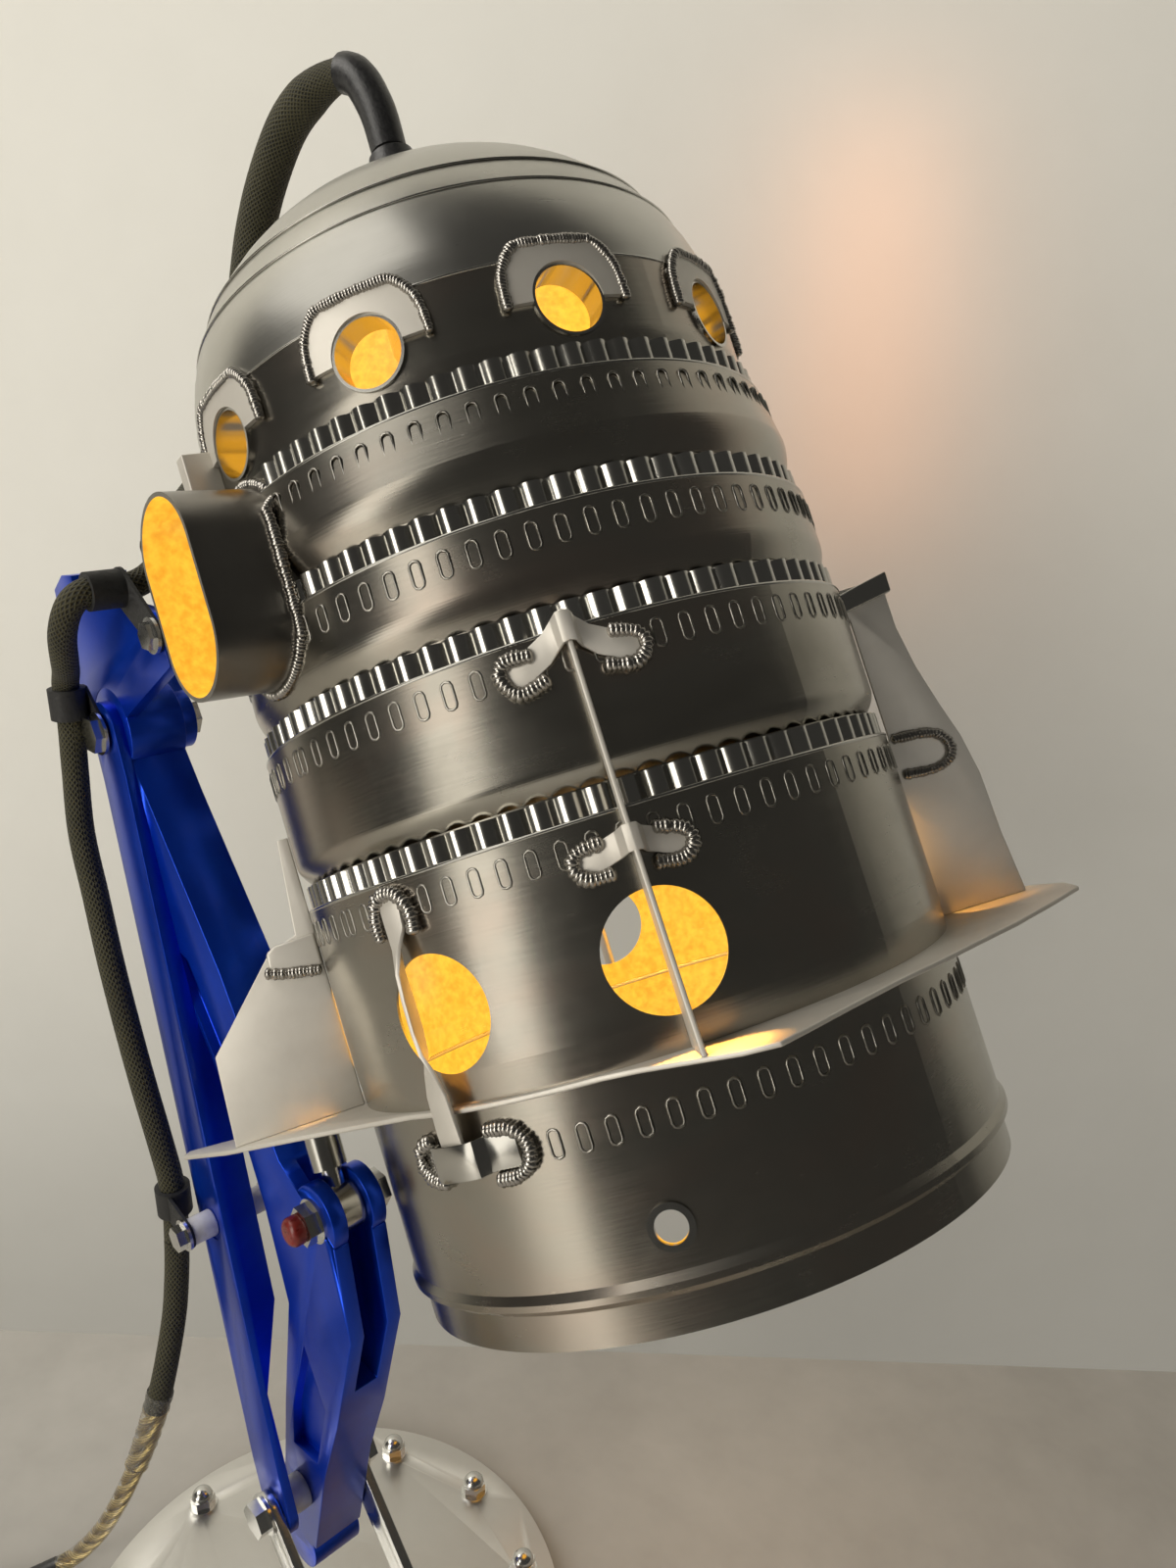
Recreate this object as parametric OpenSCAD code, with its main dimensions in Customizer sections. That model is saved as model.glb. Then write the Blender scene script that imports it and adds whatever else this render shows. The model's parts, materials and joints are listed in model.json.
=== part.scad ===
// Desk lamp: a jet engine's flame tube as the shade, on a bent lever of
// blue anodised aluminium that stands on a round plate.
// Units are millimetres. The origin is the middle of the foot pad's
// underside, +Z is up, +Y runs along the hinge bolts and the shade's open
// end leans towards +X.

/* [View] */
// The piece that is built, or all of them

/* [Base] */
// Diameter of the base plate
plate_d = 216; // [190:1:260]
// Thickness of the base plate
plate_t = 8; // [5:0.5:14]
// Thickness of the rubber pad under the plate
pad_t = 3; // [2:0.5:5]
// How far the pad is set in from the plate's edge
pad_inset = 3; // [1:0.5:12]
// Number of dome nuts on the plate
nut_count = 12; // [8:1:16]
// Distance of the dome nuts from the plate's edge
nut_inset = 14; // [12:0.5:24]
// Width across the flats of a dome nut
nut_af = 10; // [8:0.5:13]
// Height of the hexagon of a dome nut
nut_hex_h = 5; // [4:0.5:7]

/* [Arm] */
// Width of the lever along the hinge bolts
lever_w = 22; // [18:1:30]
// Width of the fork's slot
slot_w = 10; // [8:0.5:12]
// Depth of the pockets in the lever's sides
pocket_depth = 4; // [2:0.5:5]
// Thickness of the brace
brace_t = 4; // [3:0.5:6]
// Width of the brace
brace_w = 24; // [16:1:28]
// Thickness of the brace's middle
brace_mid_t = 14; // [8:0.5:16]
// Length of the nylon spacer on the foot hinge
spacer_l = 9; // [6:0.5:14]
// Diameter of the nylon spacers
spacer_d = 15; // [13:0.5:20]
// Thickness of the steel straps
strap_t = 4; // [3:0.5:6]
// Width of the steel straps
strap_w = 12; // [10:0.5:18]
// Diameter of the hinge and fork bolts
bolt_d = 8; // [6:0.5:10]
// Width across the flats of the bolts' nuts
bolt_af = 13; // [11:0.5:16]
// Height of a bolt's head or nut
head_h = 6; // [4:0.5:8]
// Radial clearance of a bolt in what turns on it
running_fit = 0.05; // [0.02:0.01:0.1]
// Gap under a piece that is welded or laid on a curved wall
seat_gap = 0.1; // [0.05:0.05:0.3]
// Side gap between faces that turn against each other
side_gap = 0.5; // [0.3:0.1:1]

/* [Shade] */
// Tilt of the shade from upright
shade_tilt = 28.2; // [20:0.1:35]
// Lean of the shade away from the arm
shade_roll = 2.5; // [0:0.1:4]
// Outer diameter of the skirt
skirt_d = 222; // [214:1:230]
// Thickness of the sheet metal
sheet = 1; // [0.8:0.1:1.4]
// Height of the wing ring above the rim
wing_s = 75; // [68:1:82]
// Height of the lowest lip
lip4_s = 147.5; // [143:0.5:153]
// Height of the second lip from below
lip3_s = 202; // [197:0.5:207]
// Height of the third lip from below
lip2_s = 239.5; // [235:0.5:244]
// Height of the top lip
lip1_s = 280; // [276:0.5:284]
// Height of the crease between the eye band and the dome
crease_s = 318; // [312:1:324]
// Height of the dome above the crease
dome_h = 85; // [72:1:98]
// Depth of the flutes of the corrugated strips
flute_h = 3; // [2:0.5:3.5]
// Number of flutes round a strip
flute_count = 76; // [60:1:90]
// How far the second lip from the top is drawn in
lip2_in = 1.5; // [0:0.5:4]
// How far the top lip is drawn in
lip1_in = 5; // [2:0.5:8]
// How far the eye band and the dome are drawn in
eye_in = 8; // [6:0.5:12]
// How far a strip stands above its lip
strip_up = 8; // [5:0.5:9]
// How far a strip reaches below its lip
strip_down = 6; // [4:0.5:8]
// How far the wing ring's plain collar stands out
collar = 3; // [2:0.5:5]
// Diameter of the large holes
port_d = 37; // [32:1:42]
// Height of the large holes
port_s = 105; // [101:1:110]
// Number of eye windows
eye_count = 10; // [8:1:10]
// Outer diameter of the eye windows' tubes
eye_d = 24; // [20:0.5:26]
// Thickness of the wing ring and the fins
fin_t = 1.6; // [1.2:0.1:2.5]
// Width of the two connecting tubes
tube_w = 40; // [36:1:46]
// Length of the two connecting tubes along the shade
tube_l = 67.5; // [60:0.5:72]

/* [Lamp and cord] */
// Diameter of the lampholder
holder_d = 44; // [38:1:50]
// Length of the lampholder
holder_l = 52; // [44:1:60]
// Diameter of the bulb
bulb_d = 50; // [40:1:60]
// Diameter of the braided loop above the dome
loop_d = 17; // [14:0.5:18]
// Diameter of the braided cable along the arm
cable_d = 10; // [9:0.5:11]
// Diameter of the clear flex
flex_d = 8; // [7:0.5:8]
// Turns of the coil in each of its two layers
coil_turns = 2.375; // [1.375:0.5:2.375]
// Radius of the coil's outermost turn
coil_r = 57; // [56:1:58]
// Distance from turn to turn of the coil
coil_step = 10; // [9.8:0.1:10]

/* [Hidden] */
$fn = 64;

// Colours
steel_dark = [0.36, 0.35, 0.33];
steel_dome = [0.55, 0.54, 0.51];
steel_bright = [0.75, 0.75, 0.74];
steel_dull = [0.52, 0.47, 0.42];
blue = [0.05, 0.16, 0.62];
nylon = [0.92, 0.92, 0.9];
black = [0.06, 0.06, 0.06];
olive = [0.17, 0.16, 0.09];
clear = [0.85, 0.8, 0.65];
plate_grey = [0.8, 0.8, 0.78];
red = [0.45, 0.05, 0.04];
amber = [1, 0.75, 0.35];
white = [0.95, 0.94, 0.9];

// Base
plate_top = pad_t + plate_t;
nut_r = plate_d / 2 - nut_inset;
stud_d = 6;
nut_washer_t = 1.2;

// Arm stations in X and Z, and the layers along Y
hinge_x = -2;
hinge_z = plate_top + 83;
head_x = -98;
head_z = hinge_z + 312;
pin_x = 30;
pin_z = hinge_z + 156;
arm_y = 12;
near_y = arm_y - lever_w / 2;
far_y = arm_y + lever_w / 2;
brace_y = near_y - spacer_l - brace_t;
strap_near_y = brace_y - side_gap - strap_t;
strap_far_y = far_y + side_gap;
slot_y = arm_y - slot_w / 2;
head_r = 17;
fork_r = 13;
brace_len = sqrt(pow(head_x - hinge_x, 2) + pow(head_z - hinge_z, 2));
brace_lean = atan2(head_x - hinge_x, head_z - hinge_z);
mid_along = 125;
// The brace runs from the spacer's near face to the lever's near face
brace_top_y = near_y - brace_t;
brace_flat = 18;
thick_from = 88;
thick_to = 165;
brace_mid_y = brace_at(mid_along) + 0.4;
brace_far_y = brace_at(mid_along) + brace_mid_t - 0.6;
mid_x = hinge_x + mid_along * sin(brace_lean);
mid_z = hinge_z + mid_along * cos(brace_lean);
mid_bolt_d = 5;
mid_spacer_l = 10;
clip_t = 1.2;
clip_w = 12;
clip_bolt_x = -46;
clip_bolt_z = head_z + 46;
shelf_t = 5;
shelf_z = head_z + 54;
lug_t = 7;

// Lever outline: the upper limb's front, the fork, the knee, the tail, the
// back, as offsets from the hinge
lever_pts = [[-82, 304], [-70, 288], [-25, 234], [-6, 205], [-2, 182],
  [8, 168], [44, 150], [50, 112], [34, 59], [20, 22], [6, -30], [-22, -32],
  [-14, 6], [-8, 41], [4, 100], [-8, 139], [-18, 161], [-60, 215],
  [-102, 269], [-110, 300]];
tail_x = -8;
tail_z = -36;

// Shade: the point of the shade that the fork pin holds, in the shade's own
// frame (x to the open side, y along the pin, z up the axis from the rim)
pin_out = 20.6;
pin_az = -126.35;
pin_s = 42;
skirt_r = skirt_d / 2;
pin_u = (skirt_r + pin_out) * cos(pin_az);
pin_v = (skirt_r + pin_out) * sin(pin_az);
lip_r = skirt_r + 0.5;
lip2_r = lip_r - lip2_in;
lip1_r = lip_r - lip1_in;
eye_r = skirt_r - eye_in;
low_bulge = 0.5;
high_bulge = 3;
dome_top = crease_s + dome_h;
ring_t = fin_t;
port_low = wing_s + ring_t;
eye_s = (lip1_s + strip_up + crease_s) / 2;
eye_turn = 17;
port_az = [-37.5, -75.5, 107, 145, 48, -125];
tube_v = lip_r + 24.3;
tube_s = lip2_s + 13;
strap_az = -78.5;
eyelet_az = -48.5;
eyelet_s = 30.5;
front_az = -37.5;
tube_wall = 1.5;
boss_r = 6.5;
boss_s = pin_s + 15;
rod_r = 9;
nipple_r = 6;
gland_h = 22;
bulb_s = dome_top - holder_l - 38;

// The cord past the photograph: switch, coil, tie and plug
switch_l = 58;
switch_w = 27;
switch_h = 18;
switch_x = -119;
switch_y = -132;
rocker_l = 16;
rocker_w = 12;
rocker_z = switch_h - 1;
tie_t = 1;
coil_x = switch_x + coil_r;
coil_y = switch_y - switch_l / 2 - 46;
coil_z = flex_d / 2 + tie_t + 0.2;
coil_layer = flex_d + 1;
coil_from = 180;
coil_rings = 24;
plug_l = 34;
plug_x = coil_x + 34;

// Cord routes: round numbers chosen by hand
loop_pts = [shade_at(0, 0, dome_top + gland_h + 2.2),
  shade_at(0, 0, dome_top + gland_h + 22), [-106, 134, 652], [-124, 130, 650],
  [-141, 125, 639], [-155, 121, 620], [-164, 117, 598], [-169, 113, 572],
  [-171, 108, 546], [-170, 101, 522], [-164, 90, 503], [-152, 74, 490],
  [-134, 56, 482], [-112, 40, 479], [-93, 29, 478], [-87, 24.8, 475.5]];
arm_pts = [[-85, 23.4, 474.6], [-76, 17, 470.5], [-71, 8, 466.8],
  [-70, -0.5, 465.5], [-70, -12.5, 465.5], [-72.5, -18, 460.5], [-80, -19, 450],
  [-92, -15.5, 438], [-104, -11.5, 431], [-110, -10.4, 424], [-110, -10.4, 417],
  [-110, -10.4, 409], [-108.5, -12, 390], [-103, -15, 366], [-93, -16.5, 342], [-83, -18, 318],
  [-74, -18.5, 294], [-67, -18, 270], [-62, -16.5, 246], [-59.5, -15, 226],
  [-59, -15, 212], [-59, -16, 198]];
drop_pts = [[-59, -16.1, 197.2], [-58, -18, 184], [-56, -22, 166],
  [-54, -28, 148], [-55, -34, 128], [-60, -40, 106], [-68, -45, 84],
  [-78, -50, 62], [-90, -55, 40], [-102, -60, 22], [-111, -66, 10],
  [-116, -76, 6], [switch_x, -90, coil_z],
  [switch_x, switch_y + switch_l / 2 + 0.3, coil_z]];

// Functions
function brace_at(a) = brace_y + spacer_l * (a - brace_flat)
  / (brace_len - 2 * brace_flat);
function shade_at(u, v, s) = let (a = u - pin_u, b = s - pin_s,
  x = a * cos(shade_tilt) - b * sin(shade_tilt), y = v - pin_v,
  z = a * sin(shade_tilt) + b * cos(shade_tilt))
  [pin_x + x, arm_y + y * cos(shade_roll) + z * sin(shade_roll),
  pin_z - y * sin(shade_roll) + z * cos(shade_roll)];
function polar(p) = [for (q = p) (skirt_r + q[1]) * [cos(q[0]), sin(q[0])]];
function unit(p) = p / norm(p);
function side_of(d) = unit(cross(abs(d[2]) > 0.9 ? [1, 0, 0] : [0, 0, 1], d));
function carried(p, i) = i == 0 ? side_of(along(p, 0))
  : let (t = along(p, i), u = carried(p, i - 1)) unit(u - t * (u * t));
function along(p, i) = unit(p[min(i + 1, len(p) - 1)] - p[max(i - 1, 0)]);
function mid_curve(p, i, t) = let (a = p[max(i - 1, 0)], b = p[i],
  c = p[i + 1], d = p[min(i + 2, len(p) - 1)])
  0.5 * (2 * b + (c - a) * t + (2 * a - 5 * b + 4 * c - d) * t * t
  + (3 * b - a - 3 * c + d) * t * t * t);
function smooth(p, k) = concat([for (i = [0 : len(p) - 2], j = [0 : k - 1])
  mid_curve(p, i, j / k)], [p[len(p) - 1]]);
function run(p) = len(p) < 2 ? 0
  : let (d = [for (i = [1 : len(p) - 1]) norm(p[i] - p[i - 1])])
  d * [for (x = d) 1];
// The coil spirals in on the floor, climbs in half a turn, spirals out
function coil_at(a) = let (n = coil_turns * 360,
  r = a < n ? coil_r - coil_step * a / 360
    : a < n + 180 ? coil_r - coil_step * coil_turns
    : coil_r - coil_step * (coil_turns - (a - n - 180) / 360),
  h = a < n ? 0 : a < n + 180 ? coil_layer * (1 - cos(a - n)) / 2 : coil_layer)
  [coil_x + r * cos(coil_from + a), coil_y + r * sin(coil_from + a),
  coil_z + h];
coil_angle = (2 * coil_turns + 0.5) * 360;
coil_pts = concat([for (k = [0 : 2]) [switch_x, switch_y - switch_l / 2
    - 0.3 - 16 * k, coil_z]],
  [for (a = [0 : 360 / coil_rings : coil_angle]) coil_at(a)],
  [for (k = [1 : 2]) [coil_x + 17 * k, coil_y - coil_r, coil_z + coil_layer]]);
coil_gap = min([for (i = [0 : len(coil_pts) - 1])
  for (j = [i + 13 : 1 : len(coil_pts) - 1])
  norm(coil_pts[i] - coil_pts[j])]) - flex_d;
echo(coil_least_gap = coil_gap);
echo(cord_lengths = [run(loop_pts), run(arm_pts), run(drop_pts), run(coil_pts)]);
// Outline of a shade band: lip at the top, bulge, shoulder, neck
function neck_of(lip) = lip - sheet - flute_h;
function band_r(s, top_s, top_r, low_s, low_r, fat_r, shoulder) =
  let (neck_s = low_s + strip_up + 1, neck_r = neck_of(low_r))
  s <= neck_s ? neck_r
  : s <= neck_s + shoulder
    ? neck_r + (fat_r - neck_r) * sin(90 * (s - neck_s) / shoulder)
  : fat_r + (top_r - fat_r) * (s - neck_s - shoulder)
    / (top_s - neck_s - shoulder);

// Sweeps a round tube along points, as one closed polyhedron
module tube(p, d, sides) {
  n = len(p);
  rings = [for (i = [0 : n - 1]) let (t = along(p, i), u = carried(p, i),
    w = cross(t, u)) for (k = [0 : sides - 1])
    p[i] + d / 2 * (u * cos(360 * k / sides) + w * sin(360 * k / sides))];
  walls = [for (i = [0 : n - 2], k = [0 : sides - 1])
    let (a = i * sides + k, b = i * sides + (k + 1) % sides)
    each [[a, a + sides, b], [b, a + sides, b + sides]]];
  low = [for (k = [1 : sides - 2]) [0, k, k + 1]];
  high = [for (k = [1 : sides - 2]) let (o = (n - 1) * sides)
    [o, o + k + 1, o + k]];
  polyhedron(rings, concat(walls, low, high), convexity = 6);
}

// Places children in the shade's frame
module on_shade() {
  translate([pin_x, arm_y, pin_z]) rotate([-shade_roll, 0, 0])
    rotate([0, -shade_tilt, 0]) translate([-pin_u, -pin_v, -pin_s]) children();
}

// Extrudes an outline drawn in X and Z from one Y to another
module plate_y(y0, y1) {
  translate([0, y1, 0]) rotate([90, 0, 0]) linear_extrude(y1 - y0) children();
}

// A bar or hole along Y
module bar_y(x, z, d, y0, y1) {
  plate_y(y0, y1) translate([x, z]) circle(d = d);
}

// A hexagon nut or head along Y, with a washer on its inner face
module hex_y(x, z, af, y0, y1) {
  plate_y(y0, y1) translate([x, z]) circle(d = af / cos(30), $fn = 6);
}

// A through bolt with heads at both ends
module through_bolt(x, z, d, af, y0, y1, h) {
  bar_y(x, z, d, y0 - h, y1 + h);
  difference() {
    union() {
      hex_y(x, z, af, y0 - h, y0 - 1.2);
      bar_y(x, z, af + 4, y0 - 1.2, y0);
      hex_y(x, z, af, y1 + 1.2, y1 + h);
      bar_y(x, z, af + 4, y1, y1 + 1.2);
    }
    bar_y(x, z, d - 0.1, y0 - h - 1, y1 + h + 1);
  }
}

// A rubber-lined clip: a band round the cable and a tail to its bolt
module clip(at, bolt_x, bolt_z, tail_y, bore_d, hole_d) {
  band = bore_d + 2 * clip_t + 1.6;
  difference() {
    union() {
      translate([at[0], at[1], at[2] - clip_w / 2]) cylinder(d = band, h = clip_w);
      plate_y(tail_y, tail_y + clip_t) hull() {
        translate([bolt_x, bolt_z]) circle(d = clip_w);
        translate([at[0], at[2]]) square([4, clip_w], center = true);
      }
    }
    translate([at[0], at[1], at[2] - clip_w]) cylinder(d = bore_d, h = 2 * clip_w);
    bar_y(bolt_x, bolt_z, hole_d, tail_y - 1, tail_y + clip_t + 1);
  }
}

// The same clip on a cable that runs along Y
module clip_along_y(at, bolt_x, bolt_z, tail_y, bore_d, hole_d) {
  band = bore_d + 2 * clip_t + 1.6;
  difference() {
    union() {
      bar_y(at[0], at[2], band, at[1] - clip_w / 2, at[1] + clip_w / 2);
      plate_y(tail_y, tail_y + clip_t) hull() {
        translate([bolt_x, bolt_z]) circle(d = clip_w);
        translate([at[0], at[2]]) circle(d = band + 1);
      }
    }
    bar_y(at[0], at[2], bore_d, at[1] - clip_w, at[1] + clip_w);
    bar_y(bolt_x, bolt_z, hole_d, tail_y - 1, tail_y + clip_t + 1);
  }
}

// Base
module foot_pad() color(black)
  cylinder(d = plate_d - 2 * pad_inset, h = pad_t, $fn = 128);

module base_plate() color(plate_grey) difference() {
  translate([0, 0, pad_t]) cylinder(d = plate_d, h = plate_t, $fn = 128);
  for (i = [0 : nut_count - 1]) rotate([0, 0, 5 + 360 * i / nut_count])
    translate([nut_r, 0, pad_t - 1]) cylinder(d = stud_d, h = plate_t + 2);
}

module dome_nuts() color(steel_bright)
  for (i = [0 : nut_count - 1]) rotate([0, 0, 5 + 360 * i / nut_count])
    translate([nut_r, 0, plate_top]) {
      cylinder(d = nut_af + 3, h = nut_washer_t);
      translate([0, 0, nut_washer_t]) cylinder(d = nut_af / cos(30),
        h = nut_hex_h, $fn = 6);
      translate([0, 0, nut_washer_t + nut_hex_h - 0.5]) intersection() {
        sphere(d = nut_af);
        translate([0, 0, nut_af / 2]) cube(nut_af, center = true);
      }
      translate([0, 0, -plate_t]) cylinder(d = stud_d, h = plate_t);
    }

// One steel strap from the hinge down to its foot on the plate
module strap(y0, foot_dir) {
  foot_x = 70;
  foot_l = 30;
  foot_w = 18;
  foot_y = foot_dir < 0 ? y0 + strap_t - foot_w : y0;
  difference() {
    union() {
      plate_y(y0, y0 + strap_t) hull() {
        translate([hinge_x, hinge_z]) circle(d = strap_w + 4);
        translate([foot_x, plate_top + strap_w / 2]) circle(d = strap_w);
        translate([foot_x - strap_w / 2, plate_top]) square([strap_w, 1]);
      }
      translate([foot_x - foot_l / 2, foot_y, plate_top])
        cube([foot_l, foot_w, strap_t]);
    }
    bar_y(hinge_x, hinge_z, bolt_d, y0 - 1, y0 + strap_t + 1);
  }
}

module strap_near() color(steel_bright) strap(strap_near_y, -1);

module strap_far() color(steel_bright) strap(strap_far_y, 1);

module hinge_bolt() color(steel_bright) through_bolt(hinge_x, hinge_z, bolt_d,
  bolt_af, strap_near_y, strap_far_y + strap_t, head_h);

// Arm
module lever_outline() {
  translate([hinge_x, hinge_z]) polygon(lever_pts);
  translate([head_x, head_z]) circle(r = head_r);
  translate([pin_x, pin_z]) circle(r = fork_r);
  translate([hinge_x + tail_x, hinge_z + tail_z]) circle(r = 13);
}

module lever_pocket(y0, y1) plate_y(y0, y1) {
  translate([hinge_x, hinge_z]) {
    polygon([[-52, 228], [-12, 178], [-12, 164], [-24, 174], [-70, 232]]);
    polygon([[13, 86], [26, 62], [15, 26], [-4, 22], [-1, 44]]);
  }
}

module lever() color(blue) difference() {
  plate_y(near_y, far_y) lever_outline();
  plate_y(slot_y, slot_y + slot_w) translate([hinge_x, hinge_z])
    polygon([[28, 78], [90, 78], [90, 200], [2, 200], [14, 150], [20, 120]]);
  lever_pocket(near_y - 1, near_y + pocket_depth);
  lever_pocket(far_y - pocket_depth, far_y + 1);
  bar_y(hinge_x, hinge_z, bolt_d + 2 * running_fit, near_y - 1, far_y + 1);
  bar_y(head_x, head_z, bolt_d, near_y - 1, far_y + 1);
  bar_y(pin_x, pin_z, bolt_d, near_y - 1, far_y + 1);
}

// The brace is a joggled bar, thick where it passes clear of the lever
module brace() color(blue) difference() {
  translate([hinge_x, 0, hinge_z]) rotate([0, brace_lean, 0]) intersection() {
    rotate([90, 0, 90]) linear_extrude(brace_w, center = true)
      polygon([[brace_y, -brace_w], [brace_y, brace_flat],
        [brace_top_y, brace_len - brace_flat], [brace_top_y, brace_len + brace_w],
        [near_y, brace_len + brace_w], [near_y, thick_to + 45],
        [brace_at(thick_to) + brace_mid_t, thick_to],
        [brace_at(thick_from) + brace_mid_t, thick_from],
        [near_y - spacer_l, thick_from - 35], [near_y - spacer_l, -brace_w]]);
    plate_y(brace_y - 5, brace_y + brace_mid_t + spacer_l + 5) {
      circle(d = brace_w);
      translate([0, brace_len]) circle(d = brace_w);
      translate([-brace_w / 2, 0]) square([brace_w, brace_len]);
    }
  }
  bar_y(hinge_x, hinge_z, bolt_d + 2 * running_fit, brace_y - 5, near_y);
  bar_y(head_x, head_z, bolt_d, brace_y - 5, near_y + 1);
  bar_y(mid_x, mid_z, mid_bolt_d, brace_y - 5, brace_far_y + 5);
  bar_y(mid_x, mid_z, spacer_d, brace_mid_y - 5, brace_mid_y);
  bar_y(mid_x, mid_z, spacer_d, brace_far_y, brace_far_y + 5);
}

module hinge_spacer() color(nylon) difference() {
  bar_y(hinge_x, hinge_z, spacer_d, near_y - spacer_l, near_y);
  bar_y(hinge_x, hinge_z, bolt_d + 2 * running_fit, near_y - spacer_l - 1,
    near_y + 1);
}

// The block sits on the lever's head, with one lug down its far side
module head_block() color(blue) difference() {
  union() {
    plate_y(near_y, far_y) translate([head_x, head_z])
      polygon([[-36, 10], [-42, 50], [-32, 57], [-22, 58], [-18, 24], [-8, 6]]);
    plate_y(near_y, near_y + shelf_t) translate([head_x, head_z])
      polygon([[-24, 10], [-24, shelf_z - head_z], [54, shelf_z - head_z],
        [60, 36], [14, 8], [-4, 10]]);
    plate_y(far_y, far_y + lug_t) translate([head_x, head_z]) {
      circle(d = brace_w);
      polygon([[-9, -6], [-40, 10], [-46, 34], [-18, 34], [11, 2]]);
    }
  }
  bar_y(head_x, head_z, 2 * head_r, near_y - 1, far_y);
  bar_y(head_x, head_z, bolt_d, near_y - 30, far_y + 30);
  bar_y(clip_bolt_x, clip_bolt_z, mid_bolt_d, near_y - 1, far_y + 30);
}

module head_bolt() color(steel_bright) through_bolt(head_x, head_z, bolt_d,
  bolt_af, brace_top_y - clip_t, far_y + lug_t, head_h - 1.5);

module fork_bolt() color(steel_bright) through_bolt(pin_x, pin_z, bolt_d,
  bolt_af, near_y, far_y, head_h);

module fork_cap() color(red) translate([pin_x, near_y - head_h, pin_z])
  rotate([90, 0, 0]) {
    cylinder(d = bolt_af - 2, h = 4);
    translate([0, 0, 4]) cylinder(d1 = bolt_af - 2, d2 = bolt_af - 5, h = 1.5);
  }

module clip_bolt() color(steel_bright) through_bolt(clip_bolt_x, clip_bolt_z,
  mid_bolt_d, bolt_af - 4, near_y - clip_t, near_y + shelf_t, head_h - 2.5);

module mid_bolt() color(steel_bright) through_bolt(mid_x, mid_z, mid_bolt_d,
  bolt_af - 4, brace_mid_y - mid_spacer_l - clip_t,
  brace_far_y + mid_spacer_l, head_h - 1);

module mid_spacers() color(nylon) difference() {
  union() {
    bar_y(mid_x, mid_z, spacer_d - 4, brace_mid_y - mid_spacer_l, brace_mid_y);
    bar_y(mid_x, mid_z, spacer_d - 4, brace_far_y, brace_far_y + mid_spacer_l);
  }
  bar_y(mid_x, mid_z, mid_bolt_d, brace_mid_y - mid_spacer_l - 1,
    brace_far_y + mid_spacer_l + 1);
}

module clip_top() color(black) clip_along_y([-70, near_y - clip_t - clip_w / 2,
  shelf_z + 5.5], clip_bolt_x, clip_bolt_z, near_y - clip_t, cable_d, mid_bolt_d);

module clip_head() color(black) clip([-110, -10.4, head_z + 11], head_x, head_z,
  brace_top_y - clip_t, cable_d, bolt_d);

module clip_mid() color(black) clip([-59, -15, 217], mid_x, mid_z,
  brace_mid_y - mid_spacer_l - clip_t, cable_d, mid_bolt_d);

module arm_cable() color(olive) tube(smooth(arm_pts, 2), cable_d, 10);

// Shade sheet metal
module band(low_s, low_r, top_s, top_r, fat_r, shoulder) {
  steps = 12;
  marks = concat([low_s - strip_down], [for (i = [0 : steps])
    low_s + strip_up + 1 + i * shoulder / steps], [top_s]);
  rotate_extrude($fn = 128) polygon(concat(
    [for (s = marks) [band_r(s, top_s, top_r, low_s, low_r, fat_r, shoulder), s]],
    [for (i = [len(marks) - 1 : -1 : 0]) let (s = marks[i])
      [band_r(s, top_s, top_r, low_s, low_r, fat_r, shoulder) - sheet, s]]));
}

// A corrugated strip: flutes outside, a plain bore inside
module strip(lip_s, lip) color(steel_bright) translate([0, 0, lip_s - strip_down])
  linear_extrude(strip_down + strip_up) difference() {
    polygon([for (i = [0 : flute_count - 1], k = [0 : 3])
      let (a = 360 * (i + k / 4) / flute_count,
        r = k < 2 ? lip - sheet - seat_gap - 0.1 : neck_of(lip) + 0.8) [r * cos(a), r * sin(a)]]);
    circle(r = neck_of(lip) + seat_gap, $fn = 360);
  }

// Drills from just inside the wall outwards
module wall_hole(az, s, d) {
  radial(az, s) translate([0, 0, skirt_r - 30]) cylinder(d = d, h = 60);
}

module radial(az, s) {
  rotate([0, 0, az]) translate([0, 0, s]) rotate([0, 90, 0]) children();
}

module skirt() color(steel_dark) on_shade() difference() {
  rotate_extrude($fn = 128) polygon([[skirt_r - 2, 0], [skirt_r - 2, 11],
    [skirt_r + 1.2, 13.5], [skirt_r + 1.2, 15.5], [skirt_r - 0.2, 18],
    [skirt_r, wing_s], [skirt_r - sheet, wing_s], [skirt_r - sheet - 0.2, 18],
    [skirt_r - sheet, 15.5], [skirt_r - sheet, 13.5], [skirt_r - 2 - sheet, 11],
    [skirt_r - 2 - sheet, 0]]);
  wall_hole(eyelet_az, eyelet_s, 10);
}

module rim_eyelet() color(steel_bright) on_shade() intersection() {
  radial(eyelet_az, eyelet_s) difference() {
    cylinder(d = 14, h = 2 * skirt_r);
    translate([0, 0, -1]) cylinder(d = 10, h = 2 * skirt_r + 2);
  }
  difference() {
    cylinder(r = skirt_r + 1, h = 60, $fn = 128);
    translate([0, 0, -1]) cylinder(r = skirt_r, h = 62, $fn = 128);
  }
}

// The wing ring: a narrow collar with four lobes. The front and right lobes
// run together, and the left one reaches out past the pin
front_lobes = [[-54, 0], [-52, 3], [-46, 7], [-40, 16], [-34, 28], [-30, 33],
  [-26, 28], [-18, 20], [-7, 15], [0, 16], [10, 19], [19, 26], [30, 37],
  [37, 47], [44, 47], [50, 43], [60, 34], [70, 20], [80, 3], [82, 0]];
back_lobe = [[118, 0], [122, 4], [130, 28], [136, 46], [145, 52], [154, 46],
  [160, 28], [168, 4], [172, 0]];

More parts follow.
